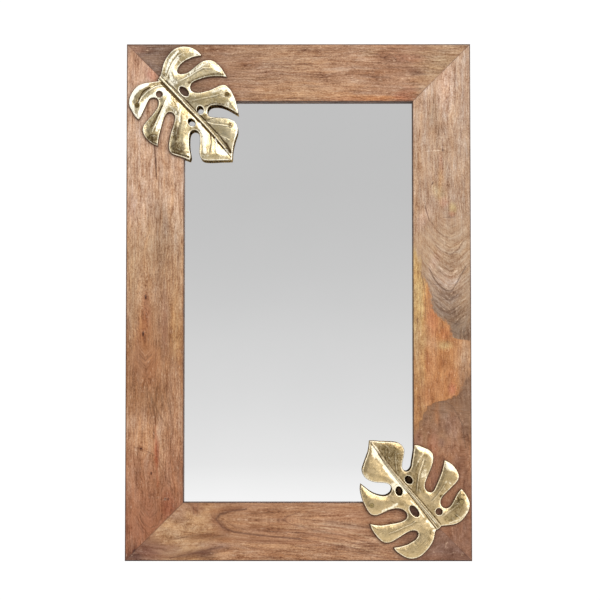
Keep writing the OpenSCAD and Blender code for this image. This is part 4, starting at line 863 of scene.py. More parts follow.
def edge_curve(p, n):
    """Smooth closed curve through the points, sharp where the third value is 1."""
    m = len(p)
    out = []
    q = [np.array(c[:2], float) for c in p]
    for i in range(m):
        a, b, c, d = q[i - 1], q[i], q[(i + 1) % m], q[(i + 2) % m]
        tb = (c - b) if p[i][2] else (c - a) / 2
        tc = (c - b) if p[(i + 1) % m][2] else (d - b) / 2
        for k in range(n):
            t = k / n
            out.append((2 * t**3 - 3 * t**2 + 1) * b + (t**3 - 2 * t**2 + t) * tb
                       + (-2 * t**3 + 3 * t**2) * c + (t**3 - t**2) * tc)
    return np.array(out)


def ellipse(u, v, a, b, turn, n):
    th = np.linspace(0, 2 * np.pi, n, endpoint=False)
    c, s = math.cos(math.radians(turn)), math.sin(math.radians(turn))
    x, y = a * np.cos(th), b * np.sin(th)
    return np.stack([u + x * c - y * s, v + x * s + y * c], 1)


def seg_dist(P, loop, closed=True):
    """Distance of each point to a line of segments, the place along it from 0 to 1, and the side (+1 on the left)."""
    if closed:
        a, b = loop, np.roll(loop, -1, 0)
    else:
        a, b = loop[:-1], loop[1:]
    ab = b - a
    L = np.hypot(ab[:, 0], ab[:, 1])
    cum = np.concatenate([[0], np.cumsum(L)])
    m = len(a)

    def to(p, k):
        q = p - a[k]
        t = np.clip((q * ab[k]).sum(-1) / np.maximum((ab[k] ** 2).sum(-1), 1e-12), 0, 1)
        r = q - t[..., None] * ab[k]
        return np.hypot(r[..., 0], r[..., 1]), t, ab[k][..., 0] * q[..., 1] - ab[k][..., 1] * q[..., 0]

    if m > 40:
        tree = KDTree(m)
        for i, c in enumerate(loop[:m]):
            tree.insert((c[0], c[1], 0.0), i)
        tree.balance()
        near = np.array([tree.find((p[0], p[1], 0.0))[1] for p in P])
        cand = np.stack([near % m, (near - 1) % m], 1)
    else:
        cand = np.tile(np.arange(m), (len(P), 1))
    d, t, cr = to(P[:, None, :], cand)
    k = d.argmin(1)
    r = np.arange(len(P))
    seg = cand[r, k]
    return d[r, k], (cum[seg] + t[r, k] * L[seg]) / cum[-1], np.sign(cr[r, k])


def inside(P, loop):
    x, y = P[:, 0], P[:, 1]
    res = np.zeros(len(P), bool)
    n = len(loop)
    for i in range(n):
        x0, y0 = loop[i]
        x1, y1 = loop[(i + 1) % n]
        c = (y0 > y) != (y1 > y)
        with np.errstate(divide="ignore", invalid="ignore"):
            xi = (x1 - x0) * (y - y0) / (y1 - y0) + x0
        res ^= c & (x < xi)
    return res


def even(loop, step):
    """The closed loop again with points about step apart."""
    nxt = np.roll(loop, -1, 0)
    out = []
    for a, b in zip(loop, nxt):
        k = max(1, int(round(np.linalg.norm(b - a) / step)))
        for j in range(k):
            out.append(a + (b - a) * j / k)
    return np.array(out)


def bend_noise(P, size, seed, octaves=2):
    return np.array([noise.fractal(Vector((p[0] / size, p[1] / size, seed)), 1.0, 2.0, octaves) for p in P])


def triangulate(loops, pts):
    """Triangles inside loops[0] and outside the other loops. Vertices 0.. are the loops' own, in order."""
    verts = [Vector(p) for l in loops for p in l]
    edges, base = [], 0
    for l in loops:
        n = len(l)
        edges += [(base + i, base + (i + 1) % n) for i in range(n)]
        base += n
    verts += [Vector(p) for p in pts]
    co, _, faces, orig, _, _ = geometry.delaunay_2d_cdt(verts, edges, [], 0, 1e-5, True)
    co = np.array(co)
    tri = np.array([f for f in faces if len(f) == 3])
    cen = co[tri].mean(1)
    ok = inside(cen, loops[0])
    for h in loops[1:]:
        ok &= ~inside(cen, h)
    tri = tri[ok]
    # back to the input's own numbering
    back = np.full(len(co), -1)
    for i, o in enumerate(orig):
        if o:
            back[i] = min(o)
    good = (back[tri] >= 0).all(1)
    tri = back[tri[good]]
    every = np.array([tuple(v) for v in verts])
    a, b, c = every[tri[:, 0]], every[tri[:, 1]], every[tri[:, 2]]
    area = (b[:, 0] - a[:, 0]) * (c[:, 1] - a[:, 1]) - (b[:, 1] - a[:, 1]) * (c[:, 0] - a[:, 0])
    tri[area < 0] = tri[area < 0][:, ::-1]
    return every, tri[np.abs(area) > 1e-7]


def smooth(x):
    x = np.clip(x, 0, 1)
    return x * x * (3 - 2 * x)


class Leaf:
    """One cast leaf. Its own u, v are those of the upper leaf; heights are in mm above the front of the wood."""

    def __init__(self, name, centre, turned, edge, holes, rib, ribs, wings, veins, swells, screws, feet, seed, uneven, dark, bright, blind=()):
        self.dark, self.bright = dark, bright
        self.name, self.centre, self.s = name, centre, (-1.0 if turned else 1.0)
        self.outline = even(edge_curve(edge, 4), 1.0)
        self.perimeter = np.hypot(*(np.roll(self.outline, -1, 0) - self.outline).T).sum()
        self.hole_axes = holes
        self.holes = [even(ellipse(*h, 40), 0.9) for h in holes]
        self.rib = self.px(rib)
        self.ribs, self.wings = ribs, wings
        self.veins = [(self.px(v[0]),) + v[1:] for v in veins]
        self.swells = [(self.px(v[0]),) + v[1:] for v in swells]
        self.screws, self.feet = screws, feet
        self.seed, self.uneven, self.blind = seed, uneven, blind
        self.far_side_shade = 0.8 if turned else 0.55

    def px(self, pts):
        """Pixel points to u, v."""
        out = []
        for q in pts:
            x, z = at(q[0], q[1], FRONT_Y - 0.007)
            out.append(((x - self.centre[0]) * self.s, (z - self.centre[1]) * self.s))
        return np.array(out)

    def strokes(self, P, marks):
        """How much of the given spots and strokes (in pixels) lies on each point."""
        out = np.zeros(len(P))
        for px, py, rx, ry, turn, k in marks[0]:
            c, a = self.px([(px, py)])[0], math.radians(turn)
            x, y = (P[:, 0] - c[0]) / PX, (P[:, 1] - c[1]) / PX
            q = np.hypot((x * math.cos(a) + y * math.sin(a)) / rx, (y * math.cos(a) - x * math.sin(a)) / ry)
            out = np.maximum(out, k * smooth((1.35 - q) / 0.7))
        for pts, wd, k in marks[1]:
            d, t, _ = seg_dist(P, self.px(pts), closed=False)
            w0, w1 = wd if isinstance(wd, tuple) else (wd, wd)
            out = np.maximum(out, k * smooth((1.35 - 2 * d / PX / (w0 * (1 - t) + w1 * t)) / 0.7))
        return out

    def hole_dist(self, P):
        dh = np.full(len(P), 1e9)
        for h in self.holes:
            d = seg_dist(P, h)[0]
            d[inside(P, h)] = 0
            dh = np.minimum(dh, d)
        return dh

    def fields(self, P):
        f = {}
        f["d"], around, _ = seg_dist(P, self.outline)
        f["around"] = around * self.perimeter
        dh = np.full(len(P), 1e9)
        for h in self.holes:
            dh = np.minimum(dh, seg_dist(P, h)[0])
        f["dh"] = dh
        d, f["s"], side = seg_dist(P, self.rib, closed=False)
        f["t"], f["ts"] = d, d * side
        f["veins"] = []
        for pts, k, wd, fade in self.veins:
            d, s, _ = seg_dist(P, pts, closed=False)
            f["veins"].append((d, k * smooth(s / max(fade[0], 1e-3)) * smooth((1 - s) / max(fade[1], 1e-3)), wd))
        return f

    def body(self, P, f):
        """Front height without rib, veins and edge rounding."""
        t = f["t"]
        h = 4.3 + 4.4 * (1 - np.exp(-(t / 16.0) ** 2))
        h -= 2.6 * (np.clip(t - 52, 0, None) / 45) ** 2
        dm = 13.0
        h -= 3.5 * (1 - np.clip(f["d"], 0, dm) / dm) ** 2 * np.clip(t / 18, 0.35, 1)
        h -= 0.6 * (1 - np.clip(f["dh"], 0, 5.0) / 5.0) ** 2
        h += self.uneven * bend_noise(P, 34.0, self.seed, 1) * np.clip(f["d"] / 8, 0.3, 1)
        for pts, k, r in self.swells:
            if len(pts) == 1:
                d = np.hypot(P[:, 0] - pts[0, 0], P[:, 1] - pts[0, 1])
            else:
                d = seg_dist(P, pts, closed=False)[0]
            h += k * np.exp(-(d / r) ** 2)
        return h

    def front(self, P, f):
        h = self.body(P, f)
        s, t, ts = f["s"], f["t"], f["ts"]
        # midrib: a raised band, with smaller ribs on it that run together at the tip
        (w0, w1), (r0, r1) = self.ribs
        wd = w0 * (1 - s) + w1 * s
        h += (r0 * (1 - s) + r1 * s) * smooth((wd + 0.55 - t) / 1.1)
        for pos, width, rise, until in self.wings:
            c = pos * wd
            k = rise * smooth((until - s) / 0.2) if until < 1 else rise
            h += k * np.exp(-((ts - c) / (width * (1 - 0.45 * s))) ** 2)
        h -= 1.0 * np.exp(-((t - wd - 1.1) / 0.8) ** 2) * smooth((1 - s) / 0.05)
        # veins, each a low ridge in a shallow trough
        for d, k, wd in f["veins"]:
            h += k * (np.exp(-(d / wd) ** 2) - 0.55 * np.exp(-((d - 2.3 * wd) / (1.3 * wd)) ** 2))
        # casting and hand finishing leave it a little uneven
        h += 0.26 * bend_noise(P, 13.0, self.seed + 4.0, 2) + 0.11 * bend_noise(P, 4.6, self.seed + 9.0, 2)
        # rims of the holes
        h += 0.45 * np.exp(-((f["dh"] - 1.5) / 0.9) ** 2)
        # flat round the screws, at the height of their heads
        for u, v, top in self.screws:
            r = np.hypot(P[:, 0] - u, P[:, 1] - v)
            k = np.exp(-np.clip(r - 4.3, 0, None) ** 2 / 16.0)
            h = h * (1 - k) + (top + 0.05) * k
            h -= np.clip(3.85 - r, 0, 1.6) * 1.15
        # rounded edge
        r = 1.35
        for d in (f["d"], f["dh"]):
            x = np.clip(d, 0, r) / r
            h -= r * (1 - np.sqrt(np.clip(1 - (1 - x) ** 2, 0, 1)))
        return np.clip(h, 1.5, 9.8)

    def hollows(self, P, f):
        """Where the polishing wheel doesn't reach, patina with painted shade: beside the midrib and veins and round the
        screws. One flank of the midrib takes the full painted shade, the other side less.
        """
        s, t = f["s"], f["t"]
        wd = self.ribs[0][0] * (1 - s) + self.ribs[0][1] * s
        low = np.where(f["ts"] * self.s < 0, 1.0, self.far_side_shade)
        out = np.exp(-((t - wd - 0.7) / 0.95) ** 2) * low
        for pos, width, rise, until in self.wings:
            if pos and abs(pos) < 1:
                out = np.maximum(out, 0.42 * smooth((0.62 * wd - np.abs(f["ts"])) / 0.8) * smooth((wd - 1.6) / 1.0))
        for d, k, wv in f["veins"]:
            out = np.maximum(out, 0.55 * np.clip(np.abs(k) * 1.3, 0, 1) * np.exp(-((d - 1.9 * wv) / (0.9 * wv)) ** 2))
        for u, v, top in self.screws:
            out = np.maximum(out, smooth((4.5 - np.hypot(P[:, 0] - u, P[:, 1] - v)) / 0.8))
        return out

    def crests(self, P, f):
        """Where the polishing wheel bites and a painted highlight lies: the tops of the ridges."""
        s, t, ts = f["s"], f["t"], f["ts"]
        wd = self.ribs[0][0] * (1 - s) + self.ribs[0][1] * s
        out = 0.9 * np.exp(-((ts - 0.35) / 0.6) ** 2) * (wd < 2.5)
        for pos, width, rise, until in self.wings:
            out = np.maximum(out, np.exp(-((ts - pos * wd) / (0.9 * width * (1 - 0.45 * s))) ** 2) * (0.85 if until >= 1 else smooth((until - s) / 0.2) * 0.6))
        for d, k, wv in f["veins"]:
            out = np.maximum(out, np.clip(k, 0, 1) * np.exp(-(d / (0.75 * wv)) ** 2))
        return out

    def back(self, P, f):
        h = self.body(P, f) - 3.1
        h -= 0.6 * (1 - np.clip(f["d"], 0, 2) / 2)
        return np.clip(h, 0.35, None)

    def lattice(self, step, clear):
        us, vs = np.arange(-104, 96, step), np.arange(-111, 102, step * 0.866)
        U, Vv = np.meshgrid(us, vs)
        U = U + (np.arange(len(vs)) % 2)[:, None] * step / 2
        L = np.stack([U.ravel(), Vv.ravel()], 1)
        return self.clear(L, clear)

    def clear(self, L, gap):
        L = L[inside(L, self.outline)]
        L = L[seg_dist(L, self.outline)[0] > gap]
        return L[self.hole_dist(L) > gap]

    def strips(self):
        """Points set closely along the midrib and veins."""
        out = []
        for pts, offs, step in [(self.rib, np.arange(-6.6, 6.7, 0.55), 1.15)] + [(v[0], np.arange(-2.8, 2.9, 0.7), 1.15) for v in self.veins]:
            seg = np.diff(pts, axis=0)
            L = np.hypot(seg[:, 0], seg[:, 1])
            cum = np.concatenate([[0], np.cumsum(L)])
            at_s = np.arange(0, cum[-1], step)
            c = np.stack([np.interp(at_s, cum, pts[:, i]) for i in (0, 1)], 1)
            tan = np.gradient(c, axis=0)
            tan /= np.hypot(tan[:, 0], tan[:, 1])[:, None] + 1e-9
            nor = np.stack([-tan[:, 1], tan[:, 0]], 1)
            for j, o in enumerate(offs):
                cc = c + tan * (step / 2 if j % 2 else 0)
                out.append(self.clear(cc + nor * o, 1.75))
        return out

    def build(self):
        loops = [self.outline] + self.holes
        nb = sum(len(l) for l in loops)
        rings = []
        for i, l in enumerate(loops):
            tan = np.roll(l, -1, 0) - np.roll(l, 1, 0)
            tan /= np.hypot(tan[:, 0], tan[:, 1])[:, None] + 1e-9
            nor = np.stack([-tan[:, 1], tan[:, 0]], 1)
            if (inside(l + nor * 0.25, l).mean() > 0.5) != (i == 0):
                nor = -nor
            rings += [(l + nor * d, d) for d in (0.12, 0.36, 0.75, 1.3)]
        fine = []
        for r, d in rings:
            do, dh = seg_dist(r, self.outline)[0], np.full(len(r), 1e9)
            for h in self.holes:
                dh = np.minimum(dh, seg_dist(r, h)[0])
                dh[inside(r, h)] = 0
            fine.append(r[(np.minimum(do, dh) > d * 0.93) & inside(r, self.outline)])
        # points already taken keep the next ones at a distance
        tree_pts, kept = [], []
        turn = np.linspace(0, 2 * np.pi, 26, endpoint=False)
        seat = np.concatenate([np.stack([u + r * np.cos(turn), v + r * np.sin(turn)], 1) for u, v, _ in self.screws for r in (1.9, 3.0, 3.75, 3.95, 4.4)])
        for batch, gap in [(np.concatenate(fine), 0.0), (seat, 0.05)] + [(b, 0.38) for b in self.strips()] + [(self.lattice(1.15, 1.9), 0.62)]:
            if gap and len(tree_pts) and len(batch):
                tree = KDTree(len(tree_pts))
                for i, c in enumerate(tree_pts):
                    tree.insert((c[0], c[1], 0.0), i)
                tree.balance()
                ok = np.array([tree.find((q[0], q[1], 0.0))[2] > gap for q in batch])
                batch = batch[ok]
            tree_pts += [tuple(q) for q in batch]
            kept.append(batch)
        every, tri = triangulate(loops, np.concatenate(kept))
        P = every[:, :2]
        f = self.fields(P)
        zf = self.front(P, f)
        every_b, tri_b = triangulate(loops, self.lattice(3.6, 2.4))
        Pb = every_b[:, :2]
        fb = self.fields(Pb)
        zb = self.back(Pb, fb)
        zb[:nb] = np.minimum(zb[:nb], zf[:nb] - 0.9)
        n0 = len(P)
        co = [np.column_stack([P, zf]), np.column_stack([Pb, zb])]
        faces = [tuple(t) for t in tri] + [(n0 + t[2], n0 + t[1], n0 + t[0]) for t in tri_b]
        base = 0
        rim = set()
        for i, l in enumerate(loops):
            n = len(l)
            ccw = (l[:, 0] * np.roll(l[:, 1], -1) - np.roll(l[:, 0], -1) * l[:, 1]).sum() > 0
            for k in range(n):
                a, b = base + k, base + (k + 1) % n
                faces.append((b, a, n0 + a, n0 + b) if ccw == (i == 0) else (a, b, n0 + b, n0 + a))
                rim.add(frozenset((n0 + a, n0 + b)))
            base += n
        edge = np.concatenate([np.minimum(f["d"], f["dh"]), np.zeros(len(Pb))])
        around = np.concatenate([f["around"], fb["around"]])
        hollow = np.concatenate([self.hollows(P, f), np.zeros(len(Pb))])
        crest = np.concatenate([self.crests(P, f), np.zeros(len(Pb))])
        deep = np.concatenate([np.zeros(len(P)), np.ones(len(Pb))])
        dark = np.concatenate([self.strokes(P, self.dark), np.zeros(len(Pb))])
        bright = np.concatenate([self.strokes(P, self.bright), np.zeros(len(Pb))])
        # bosses and feet that stand on the wood, and the webs of the blind holes
        turned, extra = [], 0
        posts = [((q[0], q[1]), 5.0) for q in self.screws] + [(tuple(q), 4.0) for q in self.feet]
        tops = self.back(np.array([q[0] for q in posts]), self.fields(np.array([q[0] for q in posts]))) + 0.8
        for ((u, v), r), top in zip(posts, tops):
            turned.append([(0.0, 0.0), (r + 0.6, 0.0), (r + 0.45, 0.25), (r + 0.1, 0.5), (r, 1.0), (r, top), (0.0, top)])
            extra += 1
        n1 = n0 + len(Pb)
        add = []
        for ((u, v), r), prof in zip(posts, turned):
            seg, starts = 28, []
            for rr, zz in prof:
                starts.append((n1 + len(add), 1 if rr == 0.0 else seg))
                add += [(u, v, zz)] if rr == 0.0 else [(u + rr * math.cos(2 * math.pi * k / seg), v + rr * math.sin(2 * math.pi * k / seg), zz) for k in range(seg)]
            for (s0, c0), (s1, c1) in zip(starts, starts[1:]):
                for k in range(seg):
                    k2 = (k + 1) % seg
                    faces.append((s0, s1 + k2, s1 + k) if c0 == 1 else (s0 + k, s0 + k2, s1) if c1 == 1 else (s0 + k, s0 + k2, s1 + k2, s1 + k))
        for i in self.blind:
            a, b = self.hole_axes[i][2:4]
            cu, cv = self.hole_axes[i][:2]
            loopw = even(ellipse(cu, cv, a + 0.5, b + 0.5, self.hole_axes[i][4], 40), 0.9)
            low = self.back(loopw, self.fields(loopw))
            mid = float(low.mean())
            s0 = n1 + len(add)
            n = len(loopw)
            add += [(q[0], q[1], z + 0.1) for q, z in zip(loopw, low)] + [(q[0], q[1], z + 1.0) for q, z in zip(loopw, low)] + [(cu, cv, mid + 0.1), (cu, cv, mid + 1.0)]
            for k in range(n):
                k2 = (k + 1) % n
                faces += [(s0 + k, s0 + k2, s0 + n + k2, s0 + n + k), (s0 + 2 * n, s0 + k2, s0 + k), (s0 + 2 * n + 1, s0 + n + k, s0 + n + k2)]
        if add:
            add = np.array(add)
            co.append(add)
            m = len(add)
            edge, around = np.concatenate([edge, np.zeros(m)]), np.concatenate([around, np.zeros(m)])
            hollow, crest, deep = np.concatenate([hollow, np.zeros(m)]), np.concatenate([crest, np.zeros(m)]), np.concatenate([deep, np.full(m, 1.5)])
            dark, bright = np.concatenate([dark, np.zeros(m)]), np.concatenate([bright, np.zeros(m)])
        co = np.concatenate(co)
        cx, cz = self.centre
        world = np.column_stack([(cx + self.s * co[:, 0]) * 0.001, FRONT_Y - co[:, 2] * 0.001, (cz + self.s * co[:, 1]) * 0.001])
        me = bpy.data.meshes.new(self.name)
        me.from_pydata([tuple(q) for q in world], [], [tuple(int(i) for i in fc) for fc in faces])
        me.update()
        for k, v in (("edge_mm", edge), ("around_mm", around), ("hollow", hollow), ("crest", crest), ("deep", deep), ("dark", dark), ("bright", bright)):
            a = me.attributes.new(k, "FLOAT", "POINT")
            a.data.foreach_set("value", np.ascontiguousarray(v, dtype=np.float32))
        me.shade_smooth()
        # the back's rim is a crisp corner
        for e in me.edges:
            if frozenset(e.vertices) in rim:
                e.use_edge_sharp = True
        o = bpy.data.objects.new(self.name, me)
        SCENE.collection.objects.link(o)
        return o


def screw_top(u, v, rib):
    """Height of a screw head in the CAD leaf's plate."""
    a = math.radians(90 + rib[2])
    t = (u - rib[0]) * math.cos(a) + (v - rib[1]) * math.sin(a)
    h = 0.8 + 5.2 * (1 - math.exp(-(t / 26) ** 2)) - (3.5 * ((abs(t) - 60) / 45) ** 2 if abs(t) > 60 else 0)
    return h + 3.0


# spots (px, py, rx, ry, turn, strength) and strokes (points, width, strength), in pixels: dark patina with painted
# shade, and polish with painted highlight
UPPER_PATINA_SHADE = ([(137.3, 106, 2.4, 2.4, 0, 0.95), (152, 138, 7.5, 5, 20, 0.85), (154, 132, 5, 5, 0, 0.5), (176, 134, 4, 11, 5, 0.80), (178, 147, 9, 7, -20, 0.85), (184, 150, 6, 5, -20, 0.65), (171, 140, 4, 10, 0, 0.55),
     (219, 131, 15, 7, -25, 0.34), (229, 140, 7, 11, 0, 0.30), (222, 143, 7, 6, -45, 0.40), (174, 104, 4, 7, -20, 0.62), (179, 108, 3, 4, -30, 0.4), (170, 110, 2.4, 6, 0, 0.5), (211, 145, 2.2, 9, 0, 0.52), (203, 142, 2, 8, 0, 0.45), (231, 125, 3, 3, 0, 0.85), (207, 117, 5, 3.2, -40, 0.7), (228, 150, 3.4, 4, 0, 0.85), (212, 156, 10, 1.8, 0, 0.4),
     (212, 99, 16, 7, 5, 0.60), (228, 95, 4, 3, -30, 0.8), (195, 99, 7, 3, 10, 0.6), (221, 73.5, 4, 2.6, 0, 0.65), (178.8, 69, 2.2, 4, -20, 0.85), (164, 72, 2.2, 5, -15, 0.6),
     (184, 54, 9, 5, 30, 0.46), (182, 61, 6, 4, 45, 0.6), (163, 75.5, 2, 2, 0, 0.8), (190, 101, 9, 2.4, 5, 0.6), (155, 84, 6, 2.4, 15, 0.7), (166, 88, 1.6, 4, 20, 0.5),
     (184, 117, 4, 9, -15, 0.56), (187, 113, 7, 10, -35, 0.45), (175, 120, 3, 6, 0, 0.5), (192, 126, 6, 6, 40, 0.5), (172, 96, 3, 4, 0, 0.35), (166, 118, 2, 7, 15, 0.55), (206, 70, 8, 3, 15, 0.4), (222, 104, 6, 4, 30, 0.45),
     (187, 97, 4, 4, 0, 0.4), (186, 63, 4, 3, 0, 0.4), (205, 154, 5, 2, 0, 0.4), (147, 117, 3, 6, 30, 0.5)],
    [([(153, 84.5), (146, 87.5), (141, 93), (137.5, 99), (135.5, 105)], 2.7, 0.66), ([(163, 105), (158, 114), (152, 125), (149, 132)], (1.6, 3.6), 0.8),
     ([(210, 133), (211, 145), (209, 154)], 1.9, 0.6), ([(213.5, 138), (214.5, 150)], 1.2, 0.45), ([(189, 82.5), (200, 78), (212, 74.5), (222, 74)], 3.6, 0.78), ([(220, 140), (222, 150)], 1.4, 0.5),
     ([(161, 82.5), (172, 94), (184, 106), (200, 122.6), (212, 135.4), (226, 151)], (2.4, 1.7), 1.35), ([(166, 80.5), (176, 90), (188, 102.5), (202, 117), (220, 136), (230, 150)], (1.7, 1.3), 1.2),
     ([(150, 87.5), (144, 91), (140, 97), (138, 104)], 1.4, 1.35), ([(148, 90), (143, 94)], 4.0, 0.5), ([(162, 106), (157, 117), (153, 126)], 1.2, 1.2), ([(168, 78), (172, 66), (180, 56)], 0.9, 0.7),
     ([(150, 141), (157, 144)], 2.2, 1.1), ([(172, 152), (182, 155), (189, 157)], 2.0, 1.1), ([(178, 128), (176, 140)], 2.2, 1.05), ([(205, 106.5), (214, 103), (224, 104.6)], 2.0, 0.9), ([(226, 143), (231, 152)], 2.2, 1.1),
     ([(207, 119.5), (216, 117.5), (228, 118)], 1.8, 0.85),
     ([(174, 99), (178, 112), (186, 124)], 3.0, 0.5), ([(187, 118), (194, 128), (197, 134)], 2.8, 0.55), ([(167, 103), (172, 118)], 2.2, 0.45), ([(186, 92), (178, 84)], 4.0, 0.4),
     ([(171, 98), (175, 103), (178, 108)], 1.0, 0.9), ([(168, 101), (172, 108), (174, 116)], 0.9, 0.8), ([(166, 97), (169, 105)], 0.9, 0.7),
     ([(133, 94), (137, 98)], 1.4, 0.5), ([(131, 101), (135, 103)], 1.2, 0.5), ([(146, 122), (151, 121)], 1.3, 0.5), ([(144, 128), (150, 127)], 1.3, 0.5)])
UPPER_POLISH_HIGHLIGHT = ([(150, 101, 8, 5, 40, 0.9), (168, 101, 2.6, 8, -15, 0.7), (224.5, 152, 4, 3.5, 0, 0.8), (197, 53, 4, 2.4, 20, 0.6), (173, 82, 5, 4, 0, 0.55), (132, 110, 3, 6, 0, 0.7), (226, 106, 5, 3, 40, 0.5)],
      [([(163, 90), (155, 95), (148, 100), (143, 107), (140, 114)], 5.0, 1.0), ([(168, 101), (163, 113), (160, 122), (157, 130)], 3.2, 0.95), ([(177, 103), (179.5, 112), (180, 122)], 1.8, 0.7),
       ([(199, 124), (203, 134), (204, 146), (205, 152)], 3.6, 0.95), ([(215.5, 139), (216.5, 150)], 2.2, 0.85), ([(172, 80), (170, 73), (173, 65), (178, 58)], 3.0, 1.0),
       ([(186, 77), (196, 69), (206, 63), (215, 64)], 3.0, 0.5), ([(213, 92), (224, 88), (230, 90)], 2.6, 0.6), ([(231, 90), (236, 100), (238, 110)], 3.4, 1.0),
       ([(234, 120), (237, 127), (236, 140), (233, 155)], 2.2, 0.9), ([(129.5, 108), (129.5, 101), (132.5, 94), (138, 88), (146, 84)], 5.4, 1.3), ([(170, 106), (176, 112), (178, 120)], 1.8, 0.6), ([(166, 72), (170, 60), (178, 51)], 2.2, 0.9), ([(190, 50), (200, 52)], 2.2, 0.7), ([(129, 104), (131, 112), (138, 117)], 3.2, 0.9)])
LOWER_PATINA_SHADE = ([(390, 452, 12, 9, 0, 0.72), (398, 463, 5, 12, 0, 0.66), (383, 450, 7, 5, -45, 0.62), (407, 475, 5, 6, 0, 0.65), (391, 461, 8, 9, -40, 0.68), (419, 487, 4, 6, 0, 0.55), (425.5, 456, 2.6, 2.2, 0, 0.65),
     (420, 453, 2, 1.6, 0, 0.4), (452, 477, 7, 5, 0, 0.25), (441.8, 496, 2.3, 1.8, 20, 0.9), (460, 500, 4, 6, 0, 0.62), (458, 512, 5, 4, 0, 0.65), (452, 519, 5, 2.4, 20, 0.7), (464, 497, 2.4, 3.4, 0, 0.8), (460, 500, 3.4, 3.4, 0, 0.85), (457, 515, 3, 2.4, 0, 0.8),
     (430.5, 532, 1.6, 3, 0, 0.65), (429, 539, 1.5, 2.6, 0, 0.55), (413, 552, 2, 1.5, 0, 0.45), (372, 466, 5, 4, 0, 0.24), (376, 474, 9, 4, 0, 0.22), (380, 468, 3, 2, 0, 0.4), (372, 475, 3, 2, 0, 0.4), (386, 474, 4, 2, 0, 0.4), (386, 478, 4, 4, 0, 0.3), (402, 503, 4, 3, 0, 0.5), (416, 484, 4.4, 12, 0, 0.66),
     (422, 488, 4, 6, 20, 0.6), (451, 476, 8, 5, -20, 0.44), (444, 488, 5, 5, 0, 0.45), (457, 507, 8, 9, 30, 0.66), (449, 518, 6, 4, 20, 0.5), (461, 494, 4, 5, 0, 0.5), (446, 508, 4, 4, 0, 0.3), (394, 456, 12, 15, 20, 0.65),
     (421, 553, 10, 2.4, 15, 0.3), (414, 547, 8, 3, 15, 0.25), (429, 512, 10, 8, -45, 0.35), (394, 502, 4, 3, 0, 0.35), (428, 462, 4, 8, 0, 0.35), (412, 488, 5, 6, -40, 0.35), (386, 515, 16, 5, -10, 0.15), (413, 552, 15, 5, 10, 0.26), (375, 502, 11, 11, 0, 0.26), (402, 546, 6, 5, 0, 0.2)],
    [([(416, 493), (415, 482), (416, 472), (418, 464)], 3.2, 0.65), ([(425, 549), (417, 554)], 1.2, 0.35), ([(412, 523), (421, 522)], 1.0, 0.55), ([(431, 510), (434, 501)], 1.0, 0.3),
     ([(376, 449), (388, 467), (402, 484), (420, 505), (438, 527)], (1.2, 0.9), 0.8), ([(380, 450), (392, 467), (406, 483.5), (424, 503.6), (441, 524)], (1.0, 0.9), 0.7)])
LOWER_POLISH_HIGHLIGHT = ([(375, 452, 3.5, 6, 0, 0.9), (396, 488, 7, 3.6, -40, 0.95), (450, 466, 5, 4.6, -30, 0.8), (434.5, 531, 2, 1.6, 0, 0.9), (427, 521.5, 1.6, 1, -40, 0.8), (431.5, 526.5, 1.6, 1, -45, 0.6), (424, 474, 3, 6, -20, 0.45),
       (446, 482, 2, 1, 40, 0.5), (450, 483, 2, 1, -50, 0.5)],
      [([(373, 447), (378, 458), (386, 466)], 3.4, 0.75), ([(385, 467), (392, 476), (400, 485), (405, 492)], 4.6, 0.95), ([(411, 501), (418, 509), (424, 517)], 1.5, 0.8), ([(404, 485.5), (414, 497), (424, 509), (436, 523)], (1.0, 1.3), 0.8), ([(427, 520), (434, 528)], 1.3, 0.8),
       ([(383, 511), (391, 508), (397, 504)], 2.4, 0.8), ([(417, 448), (426, 450), (432, 457), (433, 468), (429, 478)], 2.6, 0.6), ([(455, 465), (459, 475), (458, 481)], 1.8, 0.6),
       ([(466, 494), (469, 503), (466, 513), (459, 520), (450, 523)], 1.8, 0.5), ([(366, 474), (370, 481), (380, 484)], 2.4, 0.45), ([(416, 466), (420, 458), (424, 452)], 1.4, 0.5)])


def ticks(spots, seed, n, k):
    """Short file and brush marks scattered over the given patches, most of them roughly along the midrib."""
    rng = np.random.default_rng(seed)
    out = []
    for px, py, rx, ry, turn, much in spots:
        if much < 0.35 or rx * ry < 9:
            continue
        for _ in range(n + int(rx * ry / 16)):
            a, r = rng.uniform(0, 2 * math.pi), math.sqrt(rng.uniform(0, 1)) * 1.1
            x, y = px + r * rx * math.cos(a), py + r * ry * math.sin(a)
            d, half = 0.85 + rng.normal(0, 0.45), rng.uniform(0.9, 2.2)
            u, v = half * math.cos(d), half * math.sin(d)
            out.append(([(x - u, y - v), (x + u, y + v)], rng.uniform(0.7, 1.2), k * rng.uniform(0.6, 1.1)))
    return out


UPPER_POLISH_HIGHLIGHT[1].extend(ticks(UPPER_PATINA_SHADE[0], 4, 1, 0.5))
UPPER_PATINA_SHADE[1].extend(ticks(UPPER_PATINA_SHADE[0], 3, 2, 0.72))
UPPER_PATINA_SHADE[1].extend(ticks([(143, 91, 5, 4, 0, 1), (138, 101, 3, 5, 0, 1), (157, 119, 3, 8, 0, 1), (170, 105, 6, 8, 0, 1), (196, 95, 6, 3, 0, 1), (216, 80, 8, 3, 0, 1), (206, 145, 3, 9, 0, 1)], 5, 3, 0.62))
LOWER_POLISH_HIGHLIGHT[1].extend(ticks(LOWER_PATINA_SHADE[0], 7, 1, 0.45))
LOWER_PATINA_SHADE[1].extend(ticks(LOWER_PATINA_SHADE[0], 6, 2, 0.6))
LOWER_PATINA_SHADE[1].extend(ticks([(430, 460, 5, 8, 0, 1), (452, 478, 6, 6, 0, 1), (424, 478, 4, 8, 0, 1), (372, 470, 6, 5, 0, 1)], 8, 3, 0.5))
UP_RIB, LOW_RIB = (-46, 41, -47.1), (-46, 43, -50.6)
